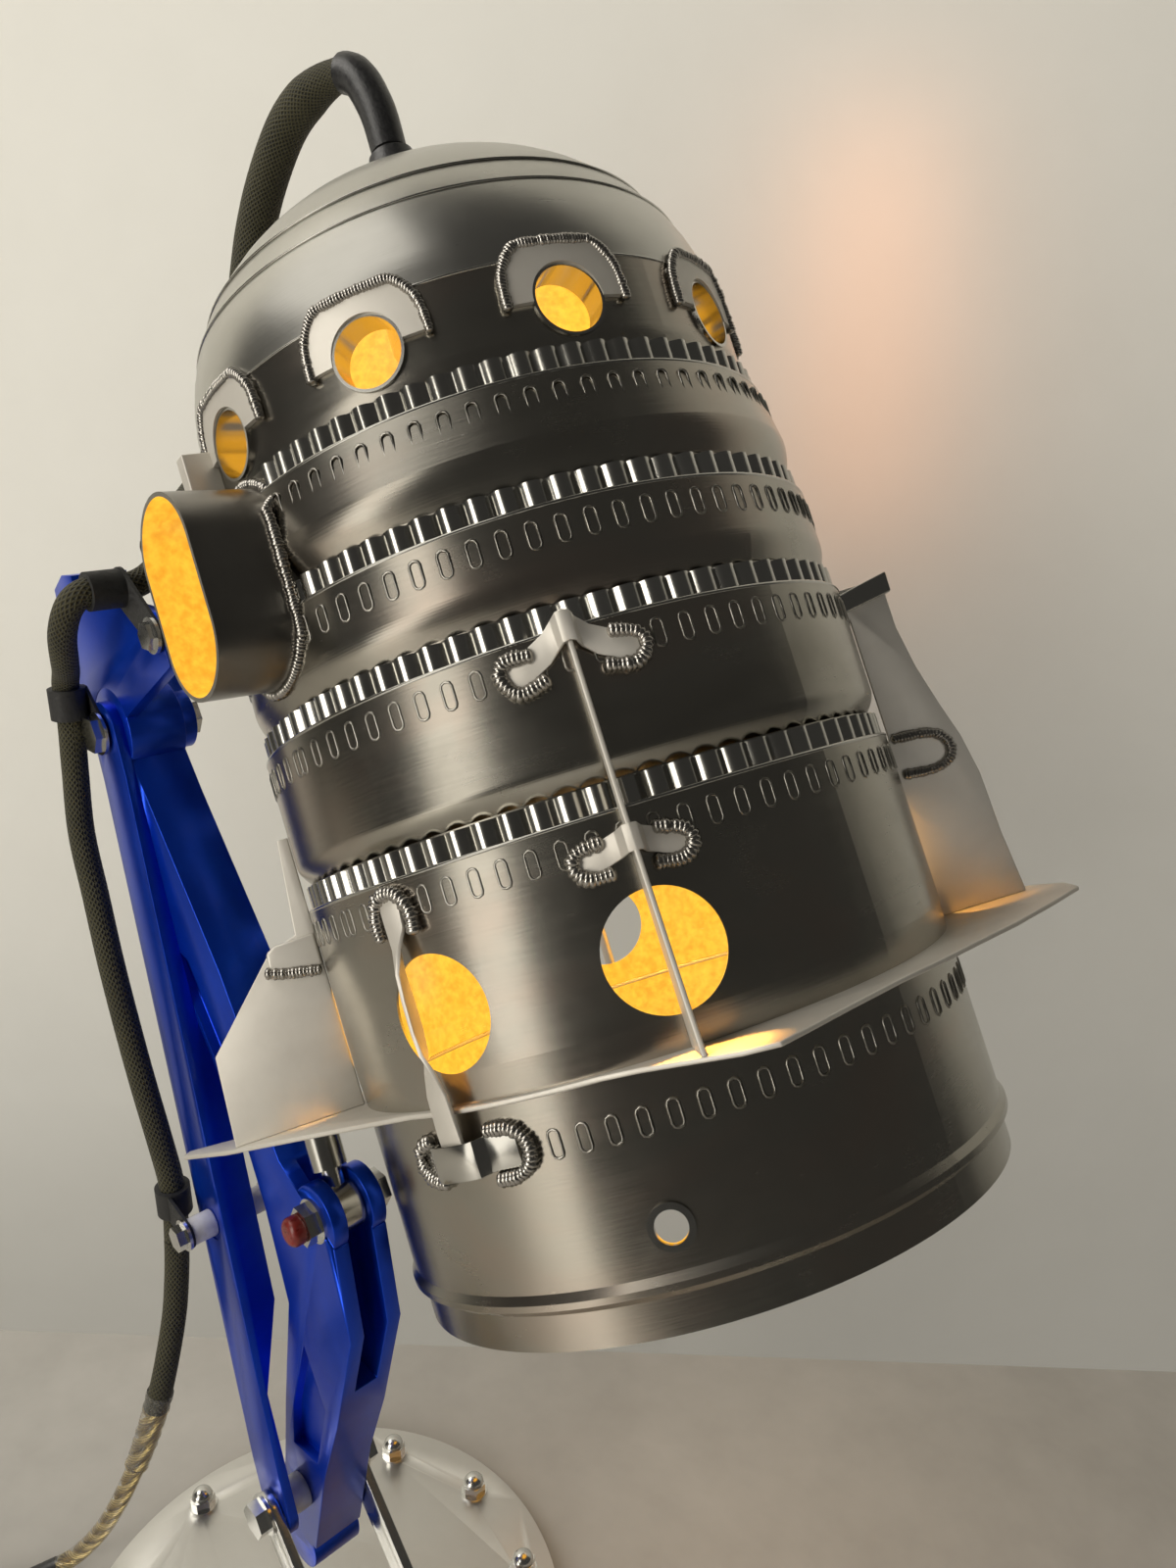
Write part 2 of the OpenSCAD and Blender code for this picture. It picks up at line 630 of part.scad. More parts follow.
module wing_outline() difference() {
  union() {
    circle(r = skirt_r + collar, $fn = 128);
    polygon(concat([[0, 0]], polar(front_lobes)));
    polygon(concat([[0, 0]], polar(back_lobe)));
    polygon([[pin_u - 7, pin_v + 47], [pin_u - 7, pin_v - 16],
      [pin_u - 23, pin_v - 24], [pin_u - 38, pin_v - 34],
      [pin_u - 31, pin_v - 39], [pin_u - 1, pin_v - 35],
      [pin_u + 43, pin_v - 20], [10, -skirt_r - 1], [0, 21 - skirt_r]]);
  }
  circle(r = skirt_r - sheet, $fn = 128);
}

module wing_ring() color(steel_dull) on_shade() translate([0, 0, wing_s])
  linear_extrude(ring_t) wing_outline();

module band_port() color(steel_dark) on_shade() difference() {
  rotate_extrude($fn = 128) polygon([[skirt_r, port_low], [lip_r, port_low + 10],
    [lip_r, lip4_s], [lip_r - sheet, lip4_s], [lip_r - sheet, port_low + 10],
    [skirt_r - sheet, port_low]]);
  for (az = port_az) wall_hole(az, port_s, port_d);
}

module band_plain() color(steel_dark) on_shade()
  band(lip4_s, lip_r, lip3_s, lip_r, lip_r, 8);

module band_low() color(steel_dark) on_shade() difference() {
  band(lip3_s, lip_r, lip2_s, lip2_r, lip2_r + low_bulge, 10);
  tube_bores();
}

module band_high() color(steel_dark) on_shade() difference() {
  band(lip2_s, lip2_r, lip1_s, lip1_r, lip1_r + high_bulge, 12);
  tube_bores();
}

module eye_band() color(steel_dark) on_shade() difference() {
  band(lip1_s, lip1_r, crease_s, eye_r, eye_r, 5);
  for (i = [0 : eye_count - 1])
    wall_hole(eye_turn + 360 * i / eye_count, eye_s, eye_d);
  tube_bores();
}

module dome() color(steel_dome) on_shade() difference() {
  rotate_extrude($fn = 128) polygon(concat(
    [for (a = [0 : 5 : 85]) [eye_r * cos(a), crease_s + dome_h * sin(a)]],
    [[nipple_r, dome_top], [nipple_r, dome_top - sheet]],
    [for (a = [85 : -5 : 0]) [(eye_r - sheet) * cos(a),
      crease_s + (dome_h - sheet) * sin(a)]]));
}

module strip_4() on_shade() strip(lip4_s, lip_r);
module strip_3() on_shade() strip(lip3_s, lip_r);

module strip_2() on_shade() difference() {
  strip(lip2_s, lip2_r);
  tube_bores();
}

module strip_1() on_shade() difference() {
  strip(lip1_s, lip1_r);
  tube_bores();
}

module eye_tubes() color(steel_bright) on_shade()
  for (i = [0 : eye_count - 1]) radial(eye_turn + 360 * i / eye_count, eye_s)
    translate([0, 0, eye_r - 10]) difference() {
      cylinder(d = eye_d, h = 11);
      translate([0, 0, -1]) cylinder(d = eye_d - 2, h = 13);
    }

// Horseshoe hoods over the upper half of each eye
module eye_hoods() color(steel_dull) on_shade() intersection() {
  difference() {
    translate([0, 0, lip1_s]) cylinder(r = eye_r + 2, h = 60, $fn = 128);
    translate([0, 0, lip1_s - 1]) cylinder(r = eye_r + seat_gap, h = 62, $fn = 128);
  }
  for (i = [0 : eye_count - 1]) radial(eye_turn + 360 * i / eye_count, eye_s)
    translate([0, 0, eye_r / 2]) linear_extrude(eye_r) difference() {
      polygon([[0, -20], [-12, -20], [-18, -13], [-18, 13], [-12, 20],
        [0, 20], [0, 12], [0, -12]]);
      circle(d = eye_d);
    }
}

// Connecting tubes: an obround tube across the two bulged bands
module obround(w, l) {
  for (k = [-1, 1]) translate([k * (l - w) / 2, 0]) circle(d = w);
  square([l - w, w], center = true);
}

module tube_bores() for (az = [-92, 88]) radial(az, tube_s)
  translate([0, 0, skirt_r - 30]) linear_extrude(60) obround(tube_w, tube_l);

module tube_stub(az) radial(az, tube_s) difference() {
  translate([0, 0, eye_r - 4]) linear_extrude(tube_v - eye_r + 4)
    obround(tube_w, tube_l);
  translate([0, 0, eye_r - 5]) linear_extrude(tube_v)
    obround(tube_w - 2 * tube_wall, tube_l - 2 * tube_wall);
}

module tube_near() color(steel_dull) on_shade() tube_stub(-92);
module tube_far() color(steel_dull) on_shade() tube_stub(88);

// A radial fin with its outline in radius and height
module fin(az, pts) color(steel_dull) on_shade() rotate([0, 0, az])
  plate_y(-fin_t / 2, fin_t / 2) polygon(pts);

wall_r = lip_r + 0.2;
hook_s = lip3_s + 4;
tall_fin = [[wall_r, port_low], [wall_r + 35, port_low],
  [wall_r + 33, port_low + 24], [wall_r + 32.5, port_low + 47],
  [wall_r + 30, lip4_s - 8], [wall_r + 26, lip4_s + 6], [wall_r + 22, lip4_s + 22],
  [wall_r + 19.5, lip3_s - 16], [wall_r + 19.5, hook_s], [wall_r, hook_s],
  [wall_r, lip3_s - 6], [wall_r + 3.5, lip3_s - 8], [wall_r + 3.5, lip4_s - 2],
  [wall_r, lip4_s - 4]];

module fin_front() fin(front_az, [[wall_r, port_low], [wall_r + 20, port_low],
  [wall_r + 16, port_low + 14], [wall_r + 7.5, lip4_s], [wall_r + 5.5, lip3_s - 8],
  [wall_r + 5.5, hook_s], [wall_r, hook_s]]);

module fin_right() fin(48, tall_fin);
module fin_back() fin(145, tall_fin);

module fin_left() fin(-119, [[wall_r, port_low], [wall_r + 46, port_low],
  [wall_r + 44.5, port_low + 32], [wall_r + 17, lip4_s - 9],
  [wall_r + 7, lip4_s - 6], [wall_r + 4, lip3_s - 26], [wall_r, lip3_s - 26]]);

// The strap on the front left: a weld pad, a bar past the collar, a loop
module twist_strap() color(steel_dull) on_shade() {
  bar_r = skirt_r + collar + 2 * seat_gap;
  rotate([0, 0, strap_az]) translate([bar_r, -2, wing_s - 12])
    cube([3, 4, lip4_s - wing_s + 2]);
  strap_pad(lip4_s - 12, 8, 10, lip_r + seat_gap, bar_r + 0.5);
  strap_pad(wing_s - 17, 32, 12, skirt_r + seat_gap, bar_r + 0.5);
}

// A pad bent round the wall
module strap_pad(s, w, h, r0, r1) intersection() {
  rotate([0, 0, strap_az]) translate([skirt_r - 20, -w / 2, s]) cube([40, w, h]);
  difference() {
    cylinder(r = r1, h = dome_top, $fn = 128);
    translate([0, 0, -1]) cylinder(r = r0, h = dome_top + 2, $fn = 128);
  }
}

module rod_boss() color(steel_bright) on_shade()
  translate([pin_u, pin_v, boss_s]) cylinder(r = boss_r, h = wing_s - boss_s);

// The eye stays square to the pin, and the stem follows the shade
module rod_end() color(steel_bright) difference() {
  union() {
    bar_y(pin_x, pin_z, 2 * rod_r, slot_y + side_gap, slot_y + slot_w - side_gap);
    on_shade() translate([pin_u, pin_v, pin_s]) cylinder(r = 4, h = boss_s - pin_s);
  }
  bar_y(pin_x, pin_z, bolt_d + 2 * running_fit, slot_y - 1, slot_y + slot_w + 1);
}

// Lamp
module dome_gland() color(black) on_shade() translate([0, 0, dome_top]) {
  cylinder(r = 14, h = 5);
  translate([0, 0, 5]) cylinder(r1 = 12, r2 = 9, h = gland_h - 5);
}

module lampholder() color(white) on_shade() {
  translate([0, 0, dome_top - sheet - 3]) cylinder(r = nipple_r, h = sheet + 3);
  translate([0, 0, dome_top - sheet - 3 - holder_l])
    cylinder(d = holder_d, h = holder_l);
}

module bulb() color(amber) on_shade() {
  translate([0, 0, dome_top - sheet - 3 - holder_l - 40]) sphere(d = bulb_d);
  translate([0, 0, dome_top - sheet - 3 - holder_l - 20])
    cylinder(d = 27, h = 20);
}

// Cords
module cable_loop() color(olive) tube(smooth(loop_pts, 2), loop_d, 10);

module cord_drop() color(clear) tube(smooth(drop_pts, 2), flex_d, 10);

module cord_switch() color(black) difference() {
  translate([switch_x - switch_w / 2, switch_y - switch_l / 2, 0])
    cube([switch_w, switch_l, switch_h]);
  translate([switch_x - rocker_w / 2 - side_gap,
    switch_y - rocker_l / 2 - side_gap - 1, switch_h - 10])
    cube([rocker_w + 2 * side_gap, rocker_l + 2 * side_gap + 2, 11]);
}

module switch_rocker() color(black) translate([switch_x, switch_y, rocker_z])
  rotate([90, 0, 90]) linear_extrude(rocker_w, center = true)
    polygon([[-rocker_l / 2, -4], [-rocker_l / 2, 0], [0, 1.5],
      [rocker_l / 2, 4], [rocker_l / 2, -2], [0, -6]]);

module cord_coil() color(clear) tube(coil_pts, flex_d, 6);

// A strap round the turns on the coil's right side
module coil_tie() color(black) translate([coil_x + coil_r - 29, coil_y - 4, 0])
  difference() {
    cube([31 + 2 * tie_t, 8, coil_z + coil_layer + flex_d / 2 + 0.4 + tie_t]);
    translate([tie_t, -1, tie_t])
      cube([31, 10, coil_z + coil_layer + flex_d / 2 + 0.4 - tie_t]);
  }

// A round two-pin plug lying on the floor at the cord's end
module plug() color(black) translate([plug_x, coil_y - coil_r,
  coil_z + coil_layer]) rotate([0, 90, 0]) {
    cylinder(d1 = flex_d + 4, d2 = flex_d + 8, h = 12);
    translate([0, 0, 12]) cylinder(r = coil_z + coil_layer, h = plug_l - 12);
    for (k = [-1, 1]) translate([0, k * 9.5, plug_l]) cylinder(d = 4.8, h = 19);
  }

foot_pad();
base_plate();
dome_nuts();
strap_near();
strap_far();
hinge_bolt();
lever();
brace();
hinge_spacer();
head_block();
head_bolt();
fork_bolt();
fork_cap();
clip_bolt();
mid_bolt();
mid_spacers();
clip_top();
clip_head();
clip_mid();
arm_cable();
skirt();
wing_ring();
band_port();
band_plain();
band_low();
band_high();
eye_band();
dome();
strip_4();
strip_3();
strip_2();
strip_1();
eye_tubes();
eye_hoods();
tube_near();
tube_far();
fin_front();
fin_right();
fin_back();
fin_left();
twist_strap();
rod_boss();
rod_end();
rim_eyelet();
dome_gland();
lampholder();
bulb();
cable_loop();
cord_drop();
cord_switch();
switch_rocker();
cord_coil();
coil_tie();
plug();
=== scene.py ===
import json
import math
import bmesh
import bpy
from mathutils import Matrix, Vector


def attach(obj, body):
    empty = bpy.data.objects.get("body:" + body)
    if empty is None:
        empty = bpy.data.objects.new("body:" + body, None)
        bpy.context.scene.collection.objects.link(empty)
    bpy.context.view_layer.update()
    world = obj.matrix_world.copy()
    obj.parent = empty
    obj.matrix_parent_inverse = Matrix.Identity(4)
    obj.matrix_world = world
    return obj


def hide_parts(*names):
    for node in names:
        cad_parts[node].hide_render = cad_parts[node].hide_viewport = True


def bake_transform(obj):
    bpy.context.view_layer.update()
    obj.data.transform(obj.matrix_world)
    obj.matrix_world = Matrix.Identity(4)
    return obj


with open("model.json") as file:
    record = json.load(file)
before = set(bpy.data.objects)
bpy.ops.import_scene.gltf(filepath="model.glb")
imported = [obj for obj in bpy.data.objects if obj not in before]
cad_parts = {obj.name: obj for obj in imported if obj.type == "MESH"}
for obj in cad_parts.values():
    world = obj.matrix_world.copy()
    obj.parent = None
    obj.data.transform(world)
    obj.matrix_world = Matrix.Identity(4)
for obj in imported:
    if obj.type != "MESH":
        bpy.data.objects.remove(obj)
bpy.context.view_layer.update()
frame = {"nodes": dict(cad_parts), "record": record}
nodes = frame["nodes"]
scene = bpy.context.scene
scene.view_settings.view_transform = "Standard"
bodies = frame["record"]["behaviour"]["bodies"]
bodyOf = {node: body for body, members in bodies.items() for node in members}
slotOf = {part["node"]: part["material_slot"] for part in frame["record"]["subparts"]}
print("frame loaded:", len(nodes), "nodes")

# The shade's own frame: x to the open side, y along the pin, z up the axis
shade = {"pin": (0.030, 0.012, 0.250), "tilt": -28.2, "roll": -2.5,
         "shift": (0.0780, 0.1060, -0.0420)}
shadeTurn = (Matrix.Rotation(math.radians(shade["roll"]), 4, "X")
             @ Matrix.Rotation(math.radians(shade["tilt"]), 4, "Y"))
shadeMatrix = Matrix.Translation(shade["pin"]) @ shadeTurn @ Matrix.Translation(shade["shift"])
rimCentre = shadeMatrix @ Vector((0, 0, 0))


# A point on the shade from its bearing in degrees, radius and height in mm
def onShade(bearing, radius, height):
    turn = math.radians(bearing)
    return shadeMatrix @ Vector(
        (radius * math.cos(turn) / 1000, radius * math.sin(turn) / 1000, height / 1000)
    )


# Camera
view = {"eye": (0.3516, -0.1666, 0.5364), "ahead": (-0.689, 0.648, -0.326), "lens": 27.0}
cameraData = bpy.data.cameras.new("camera")
cameraData.lens = view["lens"]
cameraData.sensor_width = 36.0
cameraData.clip_start = 0.01
camera = bpy.data.objects.new("camera", cameraData)
scene.collection.objects.link(camera)
camera.location = view["eye"]
camera.rotation_mode = "QUATERNION"
camera.rotation_quaternion = Vector(view["ahead"]).to_track_quat("-Z", "Y")
scene.camera = camera


# Node helpers
def newMaterial(name):
    material = bpy.data.materials.new(name)
    material.use_nodes = True
    return material, material.node_tree, material.node_tree.nodes["Principled BSDF"]


def addNode(tree, kind, **settings):
    node = tree.nodes.new(kind)
    for key, value in settings.items():
        if key in node.inputs:
            node.inputs[key].default_value = value
        else:
            setattr(node, key, value)
    return node


def ramp(tree, factor, stops):
    node = tree.nodes.new("ShaderNodeValToRGB")
    node.color_ramp.elements[0].position, node.color_ramp.elements[1].position = 0, 1
    while len(node.color_ramp.elements) < len(stops):
        node.color_ramp.elements.new(0.5)
    for element, (place, colour) in zip(node.color_ramp.elements, stops):
        element.position = place
        element.color = (*colour, 1)
    tree.links.new(factor, node.inputs["Fac"])
    return node.outputs["Color"]


def valueRange(tree, factor, low, high):
    node = addNode(tree, "ShaderNodeMapRange")
    node.inputs["To Min"].default_value = low
    node.inputs["To Max"].default_value = high
    tree.links.new(factor, node.inputs["Value"])
    return node.outputs["Result"]


def bumped(tree, bsdf, height, strength, distance):
    node = addNode(tree, "ShaderNodeBump", Strength=strength, Distance=distance)
    tree.links.new(height, node.inputs["Height"])
    tree.links.new(node.outputs["Normal"], bsdf.inputs["Normal"])


def newGroup(name, inputs, outputs):
    group = bpy.data.node_groups.new(name, "ShaderNodeTree")
    for label, kind, value in inputs:
        socket = group.interface.new_socket(label, in_out="INPUT", socket_type=kind)
        if value is not None:
            socket.default_value = value
    for label, kind in outputs:
        group.interface.new_socket(label, in_out="OUTPUT", socket_type=kind)
    return group, group.nodes.new("NodeGroupInput"), group.nodes.new("NodeGroupOutput")


def placeGroup(tree, group, vector, **values):
    node = tree.nodes.new("ShaderNodeGroup")
    node.node_tree = group
    if vector is not None:
        tree.links.new(vector, node.inputs["Vector"])
    for key, value in values.items():
        node.inputs[key.replace("_", " ")].default_value = value
    return node


floatKind, vectorKind = "NodeSocketFloat", "NodeSocketVector"


# Brushed grain: fine lines along one direction over broad blotches
def makeGrain():
    group, gIn, gOut = newGroup(
        "brushedGrain",
        [("Vector", vectorKind, None), ("Stretch", vectorKind, (60, 60, 1600)),
         ("Blotch Scale", floatKind, 18.0), ("Blotch", floatKind, 0.5)],
        [("Fine", floatKind), ("Mask", floatKind)],
    )
    stretch = addNode(group, "ShaderNodeVectorMath", operation="MULTIPLY")
    fine = addNode(group, "ShaderNodeTexNoise", Scale=1.0, Detail=3.0, Roughness=0.6)
    broad = addNode(group, "ShaderNodeTexNoise", Detail=5.0, Roughness=0.62, Distortion=0.6)
    mix = addNode(group, "ShaderNodeMix", data_type="FLOAT")
    group.links.new(gIn.outputs["Vector"], stretch.inputs[0])
    group.links.new(gIn.outputs["Stretch"], stretch.inputs[1])
    group.links.new(stretch.outputs[0], fine.inputs["Vector"])
    group.links.new(gIn.outputs["Vector"], broad.inputs["Vector"])
    group.links.new(gIn.outputs["Blotch Scale"], broad.inputs["Scale"])
    group.links.new(gIn.outputs["Blotch"], mix.inputs["Factor"])
    group.links.new(fine.outputs["Fac"], mix.inputs["A"])
    group.links.new(broad.outputs["Fac"], mix.inputs["B"])
    group.links.new(fine.outputs["Fac"], gOut.inputs["Fine"])
    group.links.new(mix.outputs["Result"], gOut.inputs["Mask"])
    return group


# Speckle: small spots for cast, moulded and painted surfaces
def makeSpeckle():
    group, gIn, gOut = newGroup(
        "speckle",
        [("Vector", vectorKind, None), ("Scale", floatKind, 400.0), ("Low", floatKind, 0.4),
         ("High", floatKind, 0.6)],
        [("Mask", floatKind)],
    )
    noise = addNode(group, "ShaderNodeTexNoise", Detail=4.0, Roughness=0.6)
    shape = addNode(group, "ShaderNodeMapRange", interpolation_type="SMOOTHSTEP")
    group.links.new(gIn.outputs["Vector"], noise.inputs["Vector"])
    group.links.new(gIn.outputs["Scale"], noise.inputs["Scale"])
    group.links.new(noise.outputs["Fac"], shape.inputs["Value"])
    group.links.new(gIn.outputs["Low"], shape.inputs["From Min"])
    group.links.new(gIn.outputs["High"], shape.inputs["From Max"])
    group.links.new(shape.outputs["Result"], gOut.inputs["Mask"])
    return group


# Inside mask for the painted amber glow: 1 where a wall faces back towards a point or an axis
def makeLitInside():
    group, gIn, gOut = newGroup(
        "paintedInsideGlow",
        [("Vector", vectorKind, None), ("Normal", vectorKind, None),
         ("Centre", vectorKind, (0, 0, 0.15)), ("Axes", vectorKind, (1, 1, 1))],
        [("Mask", floatKind)],
    )
    away = addNode(group, "ShaderNodeVectorMath", operation="SUBTRACT")
    flat = addNode(group, "ShaderNodeVectorMath", operation="MULTIPLY")
    unit = addNode(group, "ShaderNodeVectorMath", operation="NORMALIZE")
    dot = addNode(group, "ShaderNodeVectorMath", operation="DOT_PRODUCT")
    shape = addNode(group, "ShaderNodeMapRange")
    shape.inputs["From Min"].default_value = -0.1
    shape.inputs["From Max"].default_value = -0.3
    group.links.new(gIn.outputs["Vector"], away.inputs[0])
    group.links.new(gIn.outputs["Centre"], away.inputs[1])
    group.links.new(away.outputs[0], flat.inputs[0])
    group.links.new(gIn.outputs["Axes"], flat.inputs[1])
    group.links.new(flat.outputs[0], unit.inputs[0])
    group.links.new(unit.outputs[0], dot.inputs[0])
    group.links.new(gIn.outputs["Normal"], dot.inputs[1])
    group.links.new(dot.outputs["Value"], shape.inputs["Value"])
    group.links.new(shape.outputs["Result"], gOut.inputs["Mask"])
    return group


grainGroup, speckleGroup, litGroup = makeGrain(), makeSpeckle(), makeLitInside()


def objectVector(tree):
    return tree.nodes.new("ShaderNodeTexCoord").outputs["Object"]


# Object coordinates turned into the shade's own frame
def shadeVector(tree):
    mapping = addNode(tree, "ShaderNodeMapping", vector_type="TEXTURE")
    mapping.inputs["Location"].default_value = rimCentre
    mapping.inputs["Rotation"].default_value = shadeTurn.to_euler("XYZ")
    tree.links.new(objectVector(tree), mapping.inputs["Vector"])
    return mapping.outputs["Vector"]


def shadeNormal(tree):
    geometry = tree.nodes.new("ShaderNodeNewGeometry")
    toObject = addNode(tree, "ShaderNodeVectorTransform", vector_type="NORMAL",
                       convert_from="WORLD", convert_to="OBJECT")
    mapping = addNode(tree, "ShaderNodeMapping", vector_type="VECTOR")
    mapping.inputs["Rotation"].default_value = shadeTurn.transposed().to_euler("XYZ")
    tree.links.new(geometry.outputs["Normal"], toObject.inputs["Vector"])
    tree.links.new(toObject.outputs["Vector"], mapping.inputs["Vector"])
    return mapping.outputs["Vector"]


# Painted light: amber emission on the inside walls stands in for the bulb's light on them, mottled between
# dim and bright
glow = {"dim": (0.74, 0.30, 0.018), "bright": (1.0, 0.53, 0.045), "strength": 0.92}


def paintedInsideGlow(tree, bsdf, vector, centre, axes):
    mask = placeGroup(tree, litGroup, vector, Centre=centre, Axes=axes)
    tree.links.new(shadeNormal(tree), mask.inputs["Normal"])
    glowMottle = placeGroup(tree, speckleGroup, vector, Scale=260.0, Low=0.25, High=0.75)
    colour = ramp(tree, glowMottle.outputs["Mask"], [(0, glow["dim"]), (1, glow["bright"])])
    mix = addNode(tree, "ShaderNodeMix", data_type="RGBA")
    mix.inputs["A"].default_value = (0, 0, 0, 1)
    tree.links.new(mask.outputs["Mask"], mix.inputs["Factor"])
    tree.links.new(colour, mix.inputs["B"])
    tree.links.new(mix.outputs["Result"], bsdf.inputs["Emission Color"])
    bsdf.inputs["Emission Strength"].default_value = glow["strength"]


# One steel, worked differently: stops of colour, roughness span, grain, and, when inside is given, a painted
# amber glow on its inside walls
def steel(name, stops, rough, stretch, blotch, bump, inside=None, onAxis=True, metal=1.0):
    material, tree, bsdf = newMaterial(name)
    vector = shadeVector(tree) if onAxis else objectVector(tree)
    grain = placeGroup(tree, grainGroup, vector, Stretch=stretch, Blotch_Scale=blotch, Blotch=0.7)
    tone = placeGroup(tree, grainGroup, vector, Stretch=(7, 7, 26), Blotch_Scale=11.0, Blotch=0.55)
    tree.links.new(ramp(tree, tone.outputs["Mask"], stops), bsdf.inputs["Base Color"])
    tree.links.new(valueRange(tree, grain.outputs["Mask"], *rough), bsdf.inputs["Roughness"])
    bumped(tree, bsdf, grain.outputs["Fine"], bump, 0.0002)
    bsdf.inputs["Metallic"].default_value = metal
    if inside:
        paintedInsideGlow(tree, bsdf, vector, *inside)
    return material


# Centre and axes of the painted amber glow on the inside walls of the can and of the two tubes
canCentre = ((0, 0, 0.15), (1, 1, 1))
heatSteel = steel("heatSteel", [(0.25, (0.27, 0.255, 0.215)), (0.5, (0.41, 0.39, 0.34)),
    (0.62, (0.45, 0.39, 0.33)), (0.8, (0.55, 0.53, 0.47))], (0.13, 0.36), (40, 40, 900), 30.0, 0.10,
    canCentre)
domeSteel = steel("domeSteel", [(0.25, (0.42, 0.41, 0.375)), (0.5, (0.52, 0.51, 0.47)),
    (0.8, (0.63, 0.615, 0.575))], (0.20, 0.42), (60, 60, 1900), 22.0, 0.16, canCentre)
finSteel = steel("finSteel", [(0.25, (0.50, 0.46, 0.41)), (0.5, (0.66, 0.63, 0.57)),
    (0.75, (0.76, 0.73, 0.67))], (0.45, 0.62), (300, 300, 300), 40.0, 0.12, metal=0.6)
tubeStops, tubeAxes = [(0.25, (0.2, 0.19, 0.17)), (0.75, (0.4, 0.38, 0.35))], (1, 0, 1)
nearTubeSteel, farTubeSteel = [steel(name, tubeStops, (0.2, 0.42), (300, 300, 300), 40.0, 0.10,
    ((x, 0, 0.2525), tubeAxes)) for name, x in (("nearTubeSteel", -0.0047), ("farTubeSteel", 0.0047))]
markSteel = steel("markSteel", [(0.25, (0.22, 0.21, 0.185)), (0.75, (0.40, 0.385, 0.35))],
    (0.2, 0.4), (300, 300, 300), 40.0, 0.08)
brightSteel = steel("brightSteel", [(0.25, (0.40, 0.39, 0.355)), (0.75, (0.62, 0.61, 0.57))],
    (0.10, 0.28), (200, 200, 200), 60.0, 0.08)
weldSteel = steel("weldSteel", [(0.25, (0.28, 0.27, 0.245)), (0.6, (0.42, 0.40, 0.37)),
    (0.8, (0.55, 0.52, 0.47))], (0.16, 0.36), (500, 500, 500), 90.0, 0.2)
hardware = steel("hardware", [(0.2, (0.55, 0.55, 0.53)), (0.8, (0.78, 0.78, 0.75))],
    (0.12, 0.3), (700, 60, 700), 80.0, 0.08, None, False)
plateSteel = steel("plateSteel", [(0.25, (0.62, 0.61, 0.58)), (0.75, (0.78, 0.77, 0.74))],
    (0.28, 0.5), (1300, 40, 40), 14.0, 0.12, None, False)
print("steels made")


# Blue anodised aluminium: even colour, fine blasted grain, paler rub marks
def makeBlue():
    material, tree, bsdf = newMaterial("blueAnodised")
    vector = objectVector(tree)
    rub = placeGroup(tree, grainGroup, vector, Stretch=(30, 30, 30), Blotch_Scale=14.0, Blotch=0.8)
    dust = placeGroup(tree, speckleGroup, vector, Scale=1500.0, Low=0.3, High=0.7)
    tree.links.new(ramp(tree, rub.outputs["Mask"], [(0.25, (0.001, 0.030, 0.40)),
        (0.55, (0.001, 0.056, 0.62)), (0.85, (0.002, 0.100, 0.80))]), bsdf.inputs["Base Color"])
    tree.links.new(valueRange(tree, rub.outputs["Mask"], 0.22, 0.40), bsdf.inputs["Roughness"])
    bumped(tree, bsdf, dust.outputs["Mask"], 0.06, 0.0001)
    bsdf.inputs["Metallic"].default_value = 0.7
    bsdf.inputs["Coat Weight"].default_value = 0.06
    return material


# Plastics, rubber, porcelain: one colour span, roughness span and grain size
def moulded(name, low, high, rough, scale, bump):
    material, tree, bsdf = newMaterial(name)
    vector = objectVector(tree)
    spots = placeGroup(tree, speckleGroup, vector, Scale=scale, Low=0.3, High=0.7)
    tree.links.new(ramp(tree, spots.outputs["Mask"], [(0, low), (1, high)]), bsdf.inputs["Base Color"])
    tree.links.new(valueRange(tree, spots.outputs["Mask"], *rough), bsdf.inputs["Roughness"])
    bumped(tree, bsdf, spots.outputs["Mask"], bump, 0.0002)
    return material


blueAnodised = makeBlue()
nylonWhite = moulded("nylonWhite", (0.74, 0.72, 0.66), (0.86, 0.85, 0.80), (0.34, 0.5), 240.0, 0.1)
rubberBlack = moulded("rubberBlack", (0.012, 0.012, 0.012), (0.03, 0.03, 0.029), (0.5, 0.8), 700.0, 0.25)
blackMoulding = moulded("blackMoulding", (0.014, 0.014, 0.015), (0.03, 0.03, 0.031), (0.3, 0.46), 900.0, 0.2)
redMoulding = moulded("redMoulding", (0.13, 0.010, 0.008), (0.24, 0.02, 0.014), (0.22, 0.4), 300.0, 0.15)
porcelain = moulded("porcelain", (0.80, 0.78, 0.72), (0.88, 0.86, 0.80), (0.12, 0.2), 120.0, 0.05)


